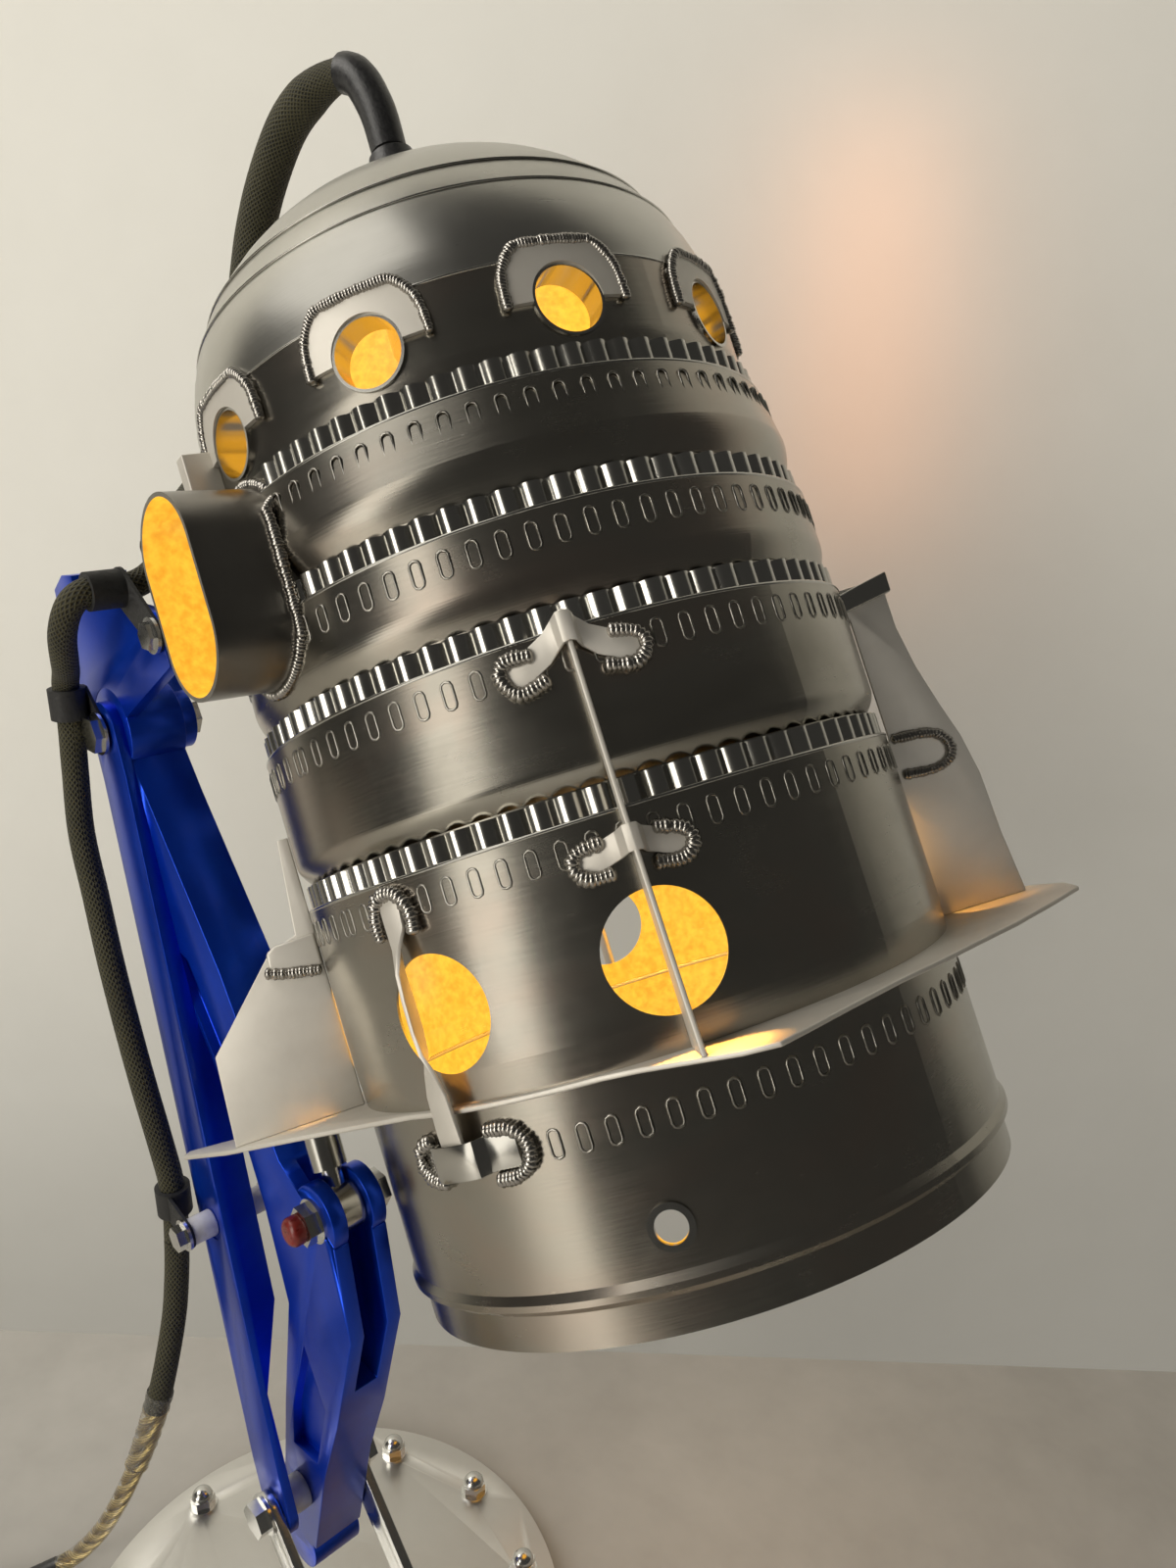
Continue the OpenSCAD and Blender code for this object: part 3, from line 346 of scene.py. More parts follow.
# Woven sleeve: two sets of crossing yarns on the piece's own UV map
def makeBraid():
    material, tree, bsdf = newMaterial("oliveBraid")
    uv = tree.nodes.new("ShaderNodeUVMap")
    uv.uv_map = "along"
    waves = []
    for turn in (38, -38):
        mapping = addNode(tree, "ShaderNodeMapping")
        mapping.inputs["Rotation"].default_value = (0, 0, math.radians(turn))
        wave = addNode(tree, "ShaderNodeTexWave", Scale=210.0, Distortion=0.4, Detail=1.0)
        tree.links.new(uv.outputs["UV"], mapping.inputs["Vector"])
        tree.links.new(mapping.outputs["Vector"], wave.inputs["Vector"])
        waves.append(wave.outputs["Fac"])
    weave = addNode(tree, "ShaderNodeMath", operation="MAXIMUM")
    tree.links.new(waves[0], weave.inputs[0])
    tree.links.new(waves[1], weave.inputs[1])
    fade = placeGroup(tree, speckleGroup, objectVector(tree), Scale=60.0, Low=0.3, High=0.75)
    mix = addNode(tree, "ShaderNodeMath", operation="MULTIPLY_ADD")
    mix.inputs[1].default_value = 0.35
    tree.links.new(fade.outputs["Mask"], mix.inputs[0])
    tree.links.new(weave.outputs["Value"], mix.inputs[2])
    tree.links.new(ramp(tree, mix.outputs["Value"], [(0.3, (0.006, 0.006, 0.003)),
        (0.8, (0.028, 0.026, 0.011)), (1.0, (0.060, 0.054, 0.022))]), bsdf.inputs["Base Color"])
    bsdf.inputs["Roughness"].default_value = 0.72
    bsdf.inputs["Sheen Weight"].default_value = 0.06
    bumped(tree, bsdf, weave.outputs["Value"], 0.8, 0.0006)
    return material


def makeClear():
    material, tree, bsdf = newMaterial("clearSheath")
    haze = placeGroup(tree, speckleGroup, objectVector(tree), Scale=160.0, Low=0.3, High=0.7)
    tree.links.new(ramp(tree, haze.outputs["Mask"], [(0, (0.93, 0.92, 0.86)), (1, (0.99, 0.98, 0.95))]),
                   bsdf.inputs["Base Color"])
    tree.links.new(valueRange(tree, haze.outputs["Mask"], 0.08, 0.22), bsdf.inputs["Roughness"])
    bsdf.inputs["Transmission Weight"].default_value = 0.92
    bsdf.inputs["IOR"].default_value = 1.3
    return material


def makeCopper():
    material, tree, bsdf = newMaterial("goldStrands")
    uv = tree.nodes.new("ShaderNodeUVMap")
    uv.uv_map = "along"
    mapping = addNode(tree, "ShaderNodeMapping")
    mapping.inputs["Rotation"].default_value = (0, 0, math.radians(25))
    wave = addNode(tree, "ShaderNodeTexWave", Scale=260.0, Distortion=0.2)
    tree.links.new(uv.outputs["UV"], mapping.inputs["Vector"])
    tree.links.new(mapping.outputs["Vector"], wave.inputs["Vector"])
    tree.links.new(ramp(tree, wave.outputs["Fac"], [(0, (0.34, 0.24, 0.08)), (1, (0.78, 0.62, 0.27))]),
                   bsdf.inputs["Base Color"])
    bsdf.inputs["Metallic"].default_value = 0.8
    bsdf.inputs["Roughness"].default_value = 0.32
    bumped(tree, bsdf, wave.outputs["Fac"], 0.5, 0.0003)
    return material


def makeBulb():
    material, tree, bsdf = newMaterial("bulbGlow")
    frost = placeGroup(tree, speckleGroup, objectVector(tree), Scale=90.0, Low=0.3, High=0.7)
    colour = ramp(tree, frost.outputs["Mask"], [(0, (1.0, 0.40, 0.035)), (1, (1.0, 0.48, 0.06))])
    tree.links.new(colour, bsdf.inputs["Base Color"])
    tree.links.new(colour, bsdf.inputs["Emission Color"])
    bsdf.inputs["Emission Strength"].default_value = 1.0
    bsdf.inputs["Roughness"].default_value = 0.3
    return material


oliveBraid, clearSheath, goldStrands, bulbGlow = makeBraid(), makeClear(), makeCopper(), makeBulb()
print("materials made")


# Mesh helpers
def meshObject(name, points, faces, material):
    mesh = bpy.data.meshes.new(name)
    mesh.from_pydata([tuple(p) for p in points], [], faces)
    mesh.validate()
    mesh.materials.append(material)
    piece = bpy.data.objects.new(name, mesh)
    scene.collection.objects.link(piece)
    return piece


def smoothShade(mesh, angle=35):
    mesh.shade_smooth()
    mesh.set_sharp_from_angle(angle=math.radians(angle))


def bevelled(piece, width, segments=2, angle=30):
    bevel = piece.modifiers.new("edges", "BEVEL")
    bevel.width = width
    bevel.segments = segments
    bevel.limit_method = "ANGLE"
    bevel.angle_limit = math.radians(angle)
    bevel.harden_normals = False
    bake(piece)


# The evaluated result becomes the piece's plain mesh, with no modifier left
def bake(piece):
    graph = bpy.context.evaluated_depsgraph_get()
    mesh = bpy.data.meshes.new_from_object(piece.evaluated_get(graph))
    old = piece.data
    piece.modifiers.clear()
    piece.data = mesh
    if old.users == 0:
        bpy.data.meshes.remove(old)


# A copy of a CAD node with its doubles merged, ready to be finished
def mergedCopy(node, ending, material, flatten):
    mesh = nodes[node].data.copy()
    mesh.name = node + "." + ending.lower()
    work = bmesh.new()
    work.from_mesh(mesh)
    bmesh.ops.remove_doubles(work, verts=work.verts, dist=0.00001)
    if flatten:
        bmesh.ops.dissolve_limit(work, angle_limit=math.radians(1), verts=work.verts, edges=work.edges)
    work.to_mesh(mesh)
    work.free()
    mesh.materials.clear()
    mesh.materials.append(material)
    piece = bpy.data.objects.new(node + ending, mesh)
    scene.collection.objects.link(piece)
    return piece


def standFor(piece, node):
    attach(piece, bodyOf[node])
    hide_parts(node)


# A copy with its edges broken, which stands for the node
def softEdged(node, width, material, segments=2):
    piece = mergedCopy(node, "Edged", material, True)
    bevelled(piece, width, segments)
    smoothShade(piece.data)
    standFor(piece, node)


# A copy shaded smooth, which stands for the node
def smoothCopy(node, material):
    piece = mergedCopy(node, "Smooth", material, False)
    smoothShade(piece.data, 30)
    standFor(piece, node)


def facedOutward(mesh):
    work = bmesh.new()
    work.from_mesh(mesh)
    bmesh.ops.recalc_face_normals(work, faces=work.faces)
    work.to_mesh(mesh)
    work.free()


def place(piece, body, slotName):
    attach(piece, body)
    return piece


# Catmull-Rom points through a route, as part.scad sweeps it
def throughPoints(route, steps):
    pts = [Vector(p) / 1000 for p in route]
    out = []
    for i in range(len(pts) - 1):
        a, b, c, d = pts[max(i - 1, 0)], pts[i], pts[i + 1], pts[min(i + 2, len(pts) - 1)]
        for j in range(steps):
            t = j / steps
            out.append(0.5 * (2 * b + (c - a) * t + (2 * a - 5 * b + 4 * c - d) * t * t
                              + (3 * b - a - 3 * c + d) * t * t * t))
    return out + [pts[-1]]


def frames(path):
    tangents = []
    for i in range(len(path)):
        tangents.append((path[min(i + 1, len(path) - 1)] - path[max(i - 1, 0)]).normalized())
    up = Vector((1, 0, 0)) if abs(tangents[0].z) > 0.9 else Vector((0, 0, 1))
    side = up.cross(tangents[0]).normalized()
    out = []
    for tangent in tangents:
        side = (side - tangent * side.dot(tangent)).normalized()
        out.append((side, tangent.cross(side)))
    return out


# A tube with a UV map: u round it in metres, v along it in metres
def tubeMesh(name, path, radius, sides, material, swell=None):
    points, faces, around = [], [], frames(path)
    lengths = [0.0]
    for i in range(1, len(path)):
        lengths.append(lengths[-1] + (path[i] - path[i - 1]).length)
    for i, centre in enumerate(path):
        size = radius * (swell(lengths[i], lengths[-1]) if swell else 1)
        side, cross = around[i]
        for k in range(sides):
            turn = 2 * math.pi * k / sides
            points.append(centre + size * (side * math.cos(turn) + cross * math.sin(turn)))
    for i in range(len(path) - 1):
        for k in range(sides):
            a, b = i * sides + k, i * sides + (k + 1) % sides
            faces.append((a, b, b + sides, a + sides))
    last = (len(path) - 1) * sides
    faces.append(tuple(reversed(range(sides))))
    faces.append(tuple(range(last, last + sides)))
    piece = meshObject(name, points, faces, material)
    uv = piece.data.uv_layers.new(name="along")
    for polygon in piece.data.polygons:
        if len(polygon.vertices) > 4:
            continue
        for corner in polygon.loop_indices:
            index = piece.data.loops[corner].vertex_index
            ring, k = divmod(index, sides)
            if k == 0 and max(v % sides for v in polygon.vertices) == sides - 1:
                k = sides
            uv.data[corner].uv = (2 * math.pi * radius * k / sides, lengths[ring])
    smoothShade(piece.data, 50)
    return piece, lengths[-1]


# Cables and cord: the routes repeat part.scad's points, in mm
loopStart = [shadeMatrix @ Vector((0, 0, z)) * 1000 for z in (0.4272, 0.447)]
loop = {"diameter": 0.017, "slim": 0.74, "route": loopStart + [
    (-106, 134, 652), (-124, 130, 650), (-141, 125, 639), (-155, 121, 620), (-164, 117, 598),
    (-169, 113, 572), (-171, 108, 546), (-170, 101, 522), (-164, 90, 503), (-152, 74, 490),
    (-134, 56, 482), (-112, 40, 479), (-93, 29, 478), (-87, 24.8, 475.5)]}
armCable = {"diameter": 0.010, "route": [
    (-85, 23.4, 474.6), (-76, 17, 470.5), (-71, 8, 466.8), (-70, -0.5, 465.5), (-70, -12.5, 465.5),
    (-72.5, -18, 460.5), (-80, -19, 450), (-92, -15.5, 438), (-104, -11.5, 431),
    (-110, -10.4, 424), (-110, -10.4, 417), (-110, -10.4, 409), (-108.5, -12, 390),
    (-103, -15, 366), (-93, -16.5, 342), (-83, -18, 318), (-74, -18.5, 294), (-67, -18, 270),
    (-62, -16.5, 246), (-59.5, -15, 226), (-59, -15, 212), (-59, -16, 198)]}
drop = {"diameter": 0.008, "route": [
    (-59, -16.1, 197.2), (-58, -18, 184), (-56, -22, 166), (-54, -28, 148), (-55, -34, 128),
    (-60, -40, 106), (-68, -45, 84), (-78, -50, 62), (-90, -55, 40), (-102, -60, 22),
    (-111, -66, 10), (-116, -76, 6), (-119, -90, 5.2), (-119, -102.7, 5.2)]}
coil = {"centre": (-62, -207), "outer": 57.0, "step": 10.0, "turns": 2.375, "layer": 9.0,
        "height": 5.2, "from": 180, "lead": 16.0, "tail": 17.0, "start": (-119, -161.3)}


def coilRoute(perTurn):
    out = [(coil["start"][0], coil["start"][1] - coil["lead"] * k, coil["height"]) for k in range(3)]
    reach = coil["turns"] * 360
    for k in range(int(round((2 * coil["turns"] + 0.5) * perTurn)) + 1):
        a = 360 * k / perTurn
        if a < reach:
            radius, lift = coil["outer"] - coil["step"] * a / 360, 0
        elif a < reach + 180:
            radius = coil["outer"] - coil["step"] * coil["turns"]
            lift = coil["layer"] * (1 - math.cos(math.radians(a - reach))) / 2
        else:
            radius = coil["outer"] - coil["step"] * (coil["turns"] - (a - reach - 180) / 360)
            lift = coil["layer"]
        turn = math.radians(coil["from"] + a)
        out.append((coil["centre"][0] + radius * math.cos(turn),
                    coil["centre"][1] + radius * math.sin(turn), coil["height"] + lift))
    for k in (1, 2):
        out.append((coil["centre"][0] + coil["tail"] * k, coil["centre"][1] - coil["outer"],
                    coil["height"] + coil["layer"]))
    return out


# Two strands wound round each other inside the clear sheath
def twistedPair(name, path, radius, pitch):
    around, walked = frames(path), 0.0
    sides = 8
    piecePaths = [[], []]
    for i, centre in enumerate(path):
        if i:
            walked += (path[i] - path[i - 1]).length
        side, cross = around[i]
        turn = 2 * math.pi * walked / pitch
        offset = (side * math.cos(turn) + cross * math.sin(turn)) * radius
        piecePaths[0].append(centre + offset)
        piecePaths[1].append(centre - offset)
    return [tubeMesh(name + str(k), piecePaths[k], radius * 0.98, sides, goldStrands)[0] for k in (0, 1)]


def resampled(path, spacing):
    out, carry = [path[0]], 0.0
    for a, b in zip(path, path[1:]):
        span = (b - a).length
        at = spacing - carry
        while at <= span:
            out.append(a + (b - a) * (at / span))
            at += spacing
        carry = span - (at - spacing)
    if (path[-1] - out[-1]).length < spacing * 0.4:
        out.pop()
    return out + [path[-1]]


# A short tapered sleeve over a stretch of cord, from its thick end
def relief(name, path, thick, thin, material):
    return tubeMesh(name, path, thick, 16, material,
                    lambda at, end: 1 + (thin / thick - 1) * at / end)[0]


def buildLoop():
    path = throughPoints(loop["route"], 8)
    slimTo, fullFrom = 0.048, 0.066
    piece, length = tubeMesh("loopBraid", path, loop["diameter"] / 2, 24, oliveBraid,
                             lambda at, end: loop["slim"] + (1 - loop["slim"])
                             * min(max((at - slimTo) / (fullFrom - slimTo), 0), 1))
    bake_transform(piece)
    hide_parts("cable_loop")
    shrink = relief("loopShrink", path[:19], loop["diameter"] / 2 * 0.86, 0.0078, blackMoulding)
    place(shrink, "shade", "black_plastic")
    path = throughPoints(armCable["route"], 6)
    piece, armLength = tubeMesh("armBraid", path, armCable["diameter"] / 2, 18, oliveBraid)
    place(piece, "arm", "olive_braid")
    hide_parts("arm_cable")
    print("loop %.3f m, arm cable %.3f m" % (length, armLength))


def buildDrop():
    path = throughPoints(drop["route"], 8)
    sheath, dropLength = tubeMesh("dropSheath", path, drop["diameter"] / 2, 16, clearSheath)
    extras = twistedPair("dropStrand", resampled(path, 0.0015), 0.00155, 0.024)
    sleeve = tubeMesh("dropBraid", path[:35], armCable["diameter"] / 2, 18, oliveBraid,
                      lambda at, end: 1.0 if at < end - 0.006 else 0.92)[0]
    shrink = tubeMesh("dropShrink", path[31:47], 0.0056, 18, clearSheath,
                      lambda at, end: 1 + 0.05 * math.sin(at * 900) - 0.12 * at / end)[0]
    extras += [sleeve, shrink]
    for part in [sheath] + extras:
        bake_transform(part)
    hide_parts("cord_drop")
    ends = relief("switchReliefIn", path[:-21:-1], 0.0051, 0.0042, blackMoulding)
    place(ends, "base", "black_plastic")
    return dropLength


def buildCoil():
    path = [Vector(p) / 1000 for p in coilRoute(48)]
    sheath, coilLength = tubeMesh("coilSheath", path, drop["diameter"] / 2, 12, clearSheath)
    strands = twistedPair("coilStrand", resampled(path, 0.003), 0.00155, 0.024)
    out = relief("switchReliefOut", path[:3], 0.0051, 0.0042, blackMoulding)
    tail = relief("plugRelief", path[:-6:-1], 0.0062, 0.0043, blackMoulding)
    for part in [sheath] + strands:
        place(part, "base", "clear_flex")
    for part in (out, tail):
        place(part, "base", "black_plastic")
    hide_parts("cord_coil")
    return coilLength


buildLoop()
print("drop %.3f m, coil %.3f m" % (buildDrop(), buildCoil()))


# Geometry Nodes helpers
geometryKind, intKind, materialKind = "NodeSocketGeometry", "NodeSocketInt", "NodeSocketMaterial"


def newGrowth(name, inputs):
    tree = bpy.data.node_groups.new(name, "GeometryNodeTree")
    tree.interface.new_socket("Geometry", in_out="INPUT", socket_type=geometryKind)
    for label, kind, value in inputs + [("Finish", materialKind, None)]:
        socket = tree.interface.new_socket(label, in_out="INPUT", socket_type=kind)
        if value is not None:
            socket.default_value = value
    tree.interface.new_socket("Geometry", in_out="OUTPUT", socket_type=geometryKind)
    return tree, tree.nodes.new("NodeGroupInput"), tree.nodes.new("NodeGroupOutput")


def joined(tree, *links):
    for source, target in links:
        tree.links.new(source, target)


def closeGrowth(tree, gIn, gOut, geometry):
    realize = tree.nodes.new("GeometryNodeRealizeInstances")
    finish = tree.nodes.new("GeometryNodeSetMaterial")
    joined(tree, (geometry, realize.inputs["Geometry"]),
           (realize.outputs["Geometry"], finish.inputs["Geometry"]),
           (gIn.outputs["Finish"], finish.inputs["Material"]),
           (finish.outputs["Geometry"], gOut.inputs["Geometry"]))


def grow(piece, tree, **values):
    modifier = piece.modifiers.new("growth", "NODES")
    modifier.node_group = tree
    for item in tree.interface.items_tree:
        label = item.name.replace(" ", "_")
        if item.in_out == "INPUT" and label in values:
            modifier[item.identifier] = values[label]
    bake(piece)
    return piece


def mathNode(tree, operation, first, second):
    node = addNode(tree, "ShaderNodeMath", operation=operation)
    for socket, value in zip(node.inputs, (first, second)):
        if value is None:
            continue
        if isinstance(value, (int, float)):
            socket.default_value = value
        else:
            tree.links.new(value, socket)
    return node.outputs["Value"]


# Weld bead: flattened drops strung along paths
def makeBeadTree():
    tree, gIn, gOut = newGrowth("weldBead", [("Size", floatKind, 0.002),
        ("Spacing", floatKind, 0.0016), ("Seed", intKind, 7)])
    curve = tree.nodes.new("GeometryNodeMeshToCurve")
    even = addNode(tree, "GeometryNodeResampleCurve", mode="LENGTH")
    dots = addNode(tree, "GeometryNodeCurveToPoints", mode="EVALUATED")
    drop = addNode(tree, "GeometryNodeMeshUVSphere", Segments=8, Rings=6, Radius=1.0)
    turn = addNode(tree, "FunctionNodeAlignRotationToVector", axis="Z")
    vary = addNode(tree, "FunctionNodeRandomValue", data_type="FLOAT")
    vary.inputs[2].default_value, vary.inputs[3].default_value = 0.86, 1.12
    flat = addNode(tree, "ShaderNodeVectorMath", operation="SCALE")
    flat.inputs[0].default_value = (1.0, 1.0, 0.6)
    soft = addNode(tree, "GeometryNodeSetShadeSmooth")
    put = tree.nodes.new("GeometryNodeInstanceOnPoints")
    size = mathNode(tree, "MULTIPLY", vary.outputs[1], gIn.outputs["Size"])
    joined(tree, (gIn.outputs["Geometry"], curve.inputs["Mesh"]),
           (curve.outputs["Curve"], even.inputs["Curve"]),
           (gIn.outputs["Spacing"], even.inputs["Length"]),
           (even.outputs["Curve"], dots.inputs["Curve"]),
           (dots.outputs["Tangent"], turn.inputs["Vector"]),
           (gIn.outputs["Seed"], vary.inputs["Seed"]),
           (size, flat.inputs["Scale"]),
           (drop.outputs["Mesh"], soft.inputs["Geometry"]),
           (dots.outputs["Points"], put.inputs["Points"]),
           (soft.outputs["Geometry"], put.inputs["Instance"]),
           (turn.outputs["Rotation"], put.inputs["Rotation"]),
           (flat.outputs["Vector"], put.inputs["Scale"]))
    closeGrowth(tree, gIn, gOut, put.outputs["Instances"])
    return tree


# Rolled edge: a thin round bar along paths
def makeEdgeTree():
    tree, gIn, gOut = newGrowth("rolledEdge", [("Thick", floatKind, 0.0006)])
    curve = tree.nodes.new("GeometryNodeMeshToCurve")
    ring = addNode(tree, "GeometryNodeCurvePrimitiveCircle", Resolution=8)
    solid = tree.nodes.new("GeometryNodeCurveToMesh")
    solid.inputs["Fill Caps"].default_value = True
    soft = addNode(tree, "GeometryNodeSetShadeSmooth")
    joined(tree, (gIn.outputs["Geometry"], curve.inputs["Mesh"]),
           (gIn.outputs["Thick"], ring.inputs["Radius"]),
           (curve.outputs["Curve"], solid.inputs["Curve"]),
           (ring.outputs["Curve"], solid.inputs["Profile Curve"]),
           (solid.outputs["Mesh"], soft.inputs["Geometry"]))
    closeGrowth(tree, gIn, gOut, soft.outputs["Geometry"])
    return tree


# Slot marks: rounded outlines pressed into the wall, spaced round the axis
def makeMarkTree():
    tree, gIn, gOut = newGrowth("slotMarks", [("Radius", floatKind, 0.111),
        ("Height", floatKind, 0.14), ("Count", intKind, 76), ("Start", floatKind, 0.0),
        ("Sweep", floatKind, 6.2), ("Wide", floatKind, 0.0036), ("Tall", floatKind, 0.0085),
        ("Thick", floatKind, 0.0005)])
    arc = addNode(tree, "GeometryNodeCurveArc", mode="RADIUS")
    lift = tree.nodes.new("GeometryNodeSetPosition")
    upward = tree.nodes.new("ShaderNodeCombineXYZ")
    dots = addNode(tree, "GeometryNodeCurveToPoints", mode="EVALUATED")
    where = tree.nodes.new("GeometryNodeInputPosition")
    outward = addNode(tree, "ShaderNodeVectorMath", operation="MULTIPLY")
    outward.inputs[1].default_value = (1, 1, 0)
    turn = addNode(tree, "FunctionNodeAlignRotationToVector", axis="X", pivot_axis="Z")
    box = addNode(tree, "GeometryNodeCurvePrimitiveQuadrilateral", mode="RECTANGLE")
    rounded = addNode(tree, "GeometryNodeFilletCurve", mode="POLY")
    rounded.inputs["Count"].default_value = 2
    upright = tree.nodes.new("GeometryNodeTransform")
    upright.inputs["Rotation"].default_value = (math.pi / 2, 0, math.pi / 2)
    ring = addNode(tree, "GeometryNodeCurvePrimitiveCircle", Resolution=4)
    solid = tree.nodes.new("GeometryNodeCurveToMesh")
    soft = addNode(tree, "GeometryNodeSetShadeSmooth")
    put = tree.nodes.new("GeometryNodeInstanceOnPoints")
    joined(tree, (gIn.outputs["Count"], arc.inputs["Resolution"]),
           (gIn.outputs["Radius"], arc.inputs["Radius"]),
           (gIn.outputs["Start"], arc.inputs["Start Angle"]),
           (gIn.outputs["Sweep"], arc.inputs["Sweep Angle"]),
           (gIn.outputs["Height"], upward.inputs["Z"]),
           (arc.outputs["Curve"], lift.inputs["Geometry"]),
           (upward.outputs["Vector"], lift.inputs["Offset"]),
           (lift.outputs["Geometry"], dots.inputs["Curve"]),
           (where.outputs["Position"], outward.inputs[0]),
           (outward.outputs["Vector"], turn.inputs["Vector"]),
           (gIn.outputs["Wide"], box.inputs["Width"]),
           (gIn.outputs["Tall"], box.inputs["Height"]),
           (box.outputs["Curve"], rounded.inputs["Curve"]),
           (mathNode(tree, "MULTIPLY", gIn.outputs["Wide"], 0.42), rounded.inputs["Radius"]),
           (rounded.outputs["Curve"], upright.inputs["Geometry"]),
           (gIn.outputs["Thick"], ring.inputs["Radius"]),
           (upright.outputs["Geometry"], solid.inputs["Curve"]),
           (ring.outputs["Curve"], solid.inputs["Profile Curve"]),
           (solid.outputs["Mesh"], soft.inputs["Geometry"]),
           (dots.outputs["Points"], put.inputs["Points"]),
           (soft.outputs["Geometry"], put.inputs["Instance"]),
           (turn.outputs["Rotation"], put.inputs["Rotation"]))
    closeGrowth(tree, gIn, gOut, put.outputs["Instances"])
    return tree


# Corrugated strip: a grid bent round the axis, its radius a row of round flutes
def makeFluteTree():
    tree, gIn, gOut = newGrowth("fluting", [("Inner", floatKind, 0.1077),
        ("Deep", floatKind, 0.0025), ("Foot", floatKind, 0.142), ("Tall", floatKind, 0.014),
        ("Flutes", intKind, 76), ("Start", floatKind, 0.0), ("Sweep", floatKind, 6.283),
        ("Columns", intKind, 760)])
    sheet = addNode(tree, "GeometryNodeMeshGrid")
    sheet.inputs["Size X"].default_value, sheet.inputs["Size Y"].default_value = 1, 1
    sheet.inputs["Vertices Y"].default_value = 4
    where = tree.nodes.new("GeometryNodeInputPosition")
    split, join = tree.nodes.new("ShaderNodeSeparateXYZ"), tree.nodes.new("ShaderNodeCombineXYZ")
    move = tree.nodes.new("GeometryNodeSetPosition")
    soft = addNode(tree, "GeometryNodeSetShadeSmooth")
    joined(tree, (gIn.outputs["Columns"], sheet.inputs["Vertices X"]),
           (where.outputs["Position"], split.inputs["Vector"]))
    across = mathNode(tree, "ADD", split.outputs["X"], 0.5)
    angle = mathNode(tree, "ADD", mathNode(tree, "MULTIPLY", across, gIn.outputs["Sweep"]),
                     gIn.outputs["Start"])
    wave = mathNode(tree, "SINE", mathNode(tree, "MULTIPLY", mathNode(tree, "MULTIPLY", angle,
                    gIn.outputs["Flutes"]), 0.5), None)
    crest = mathNode(tree, "POWER", mathNode(tree, "ABSOLUTE", wave, None), 0.75)
    radius = mathNode(tree, "ADD", mathNode(tree, "MULTIPLY", crest, gIn.outputs["Deep"]),
                      gIn.outputs["Inner"])
    height = mathNode(tree, "ADD", mathNode(tree, "MULTIPLY", mathNode(tree, "ADD",
                      split.outputs["Y"], 0.5), gIn.outputs["Tall"]), gIn.outputs["Foot"])
    joined(tree,
           (mathNode(tree, "MULTIPLY", radius, mathNode(tree, "COSINE", angle, None)), join.inputs["X"]),
           (mathNode(tree, "MULTIPLY", radius, mathNode(tree, "SINE", angle, None)), join.inputs["Y"]),
           (height, join.inputs["Z"]),
           (sheet.outputs["Mesh"], move.inputs["Geometry"]),
           (join.outputs["Vector"], move.inputs["Position"]),
           (move.outputs["Geometry"], soft.inputs["Geometry"]))
    closeGrowth(tree, gIn, gOut, soft.outputs["Geometry"])
    return tree


beadTree, edgeTree = makeBeadTree(), makeEdgeTree()
markTree, fluteTree = makeMarkTree(), makeFluteTree()


# Open paths in mm as one wire mesh for a tree to follow
def wires(name, paths):
    points, edges = [], []
    for path in paths:
        edges += [(len(points) + k, len(points) + k + 1) for k in range(len(path) - 1)]
        points += [tuple(q) for q in path]
    mesh = bpy.data.meshes.new(name)
    mesh.from_pydata(points, edges, [])
    piece = bpy.data.objects.new(name, mesh)
    scene.collection.objects.link(piece)
    return piece


# Smoothed path on the shade from (bearing, radius, height) rows
def onWall(rows, steps=4):
    return throughPoints([onShade(*row) * 1000 for row in rows], steps)


# Ring arcs that leave out the two connecting tubes
tubes = {"bearings": (-92, 88), "wide": 40.0, "long": 67.5, "height": 252.5,
         "weldRound": 21.2, "weldStraight": 13.7}


def tubeGap(height, radius, spare):
    past = max(abs(height - tubes["height"]) - (tubes["long"] - tubes["wide"]) / 2, 0)
    if past >= tubes["wide"] / 2:
        return 0
    return math.degrees(math.asin((math.sqrt((tubes["wide"] / 2) ** 2 - past ** 2) + spare) / radius))


def arcs(height, radius, spare=0.4):
    gap = tubeGap(height, radius, spare)
    near, far = tubes["bearings"]
    if gap == 0:
        return [(near, near + 360)]
    return [(near + gap, far - gap), (far + gap, near + 360 - gap)]


# Strips, rolled lips and slot marks of the four joints, low to high
joints = [{"node": "strip_4", "lip": 147.5, "radius": 111.5, "marks": 111.4},
          {"node": "strip_3", "lip": 202.0, "radius": 111.5, "marks": 111.4},
          {"node": "strip_2", "lip": 239.5, "radius": 110.0, "marks": 110.2},
          {"node": "strip_1", "lip": 280.0, "radius": 106.5, "marks": 107.6}]
flute = {"deep": 2.6, "down": 5.5, "up": 8.4, "count": 76, "sheet": 0.0007}


def strip(joint):
    for k, (low, high) in enumerate(arcs(joint["lip"] - 2, joint["radius"], 0.8)):
        sweep = math.radians(high - low)
        piece = meshObject("%sFlutes%d" % (joint["node"], k), [(0, 0, 0)], [], brightSteel)
        grow(piece, fluteTree, Inner=(joint["radius"] - 3.8) / 1000, Deep=flute["deep"] / 1000,
             Foot=(joint["lip"] - flute["down"]) / 1000, Tall=(flute["down"] + flute["up"]) / 1000,
             Flutes=flute["count"], Start=math.radians(low), Sweep=sweep,
             Columns=int(round(760 * sweep / 6.283)), Finish=brightSteel)
        wall = piece.modifiers.new("sheet", "SOLIDIFY")
        wall.thickness, wall.offset = flute["sheet"], -1
        bake(piece)
        piece.data.transform(shadeMatrix)
        smoothShade(piece.data, 50)
        place(piece, "shade", slotOf[joint["node"]])
    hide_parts(joint["node"])


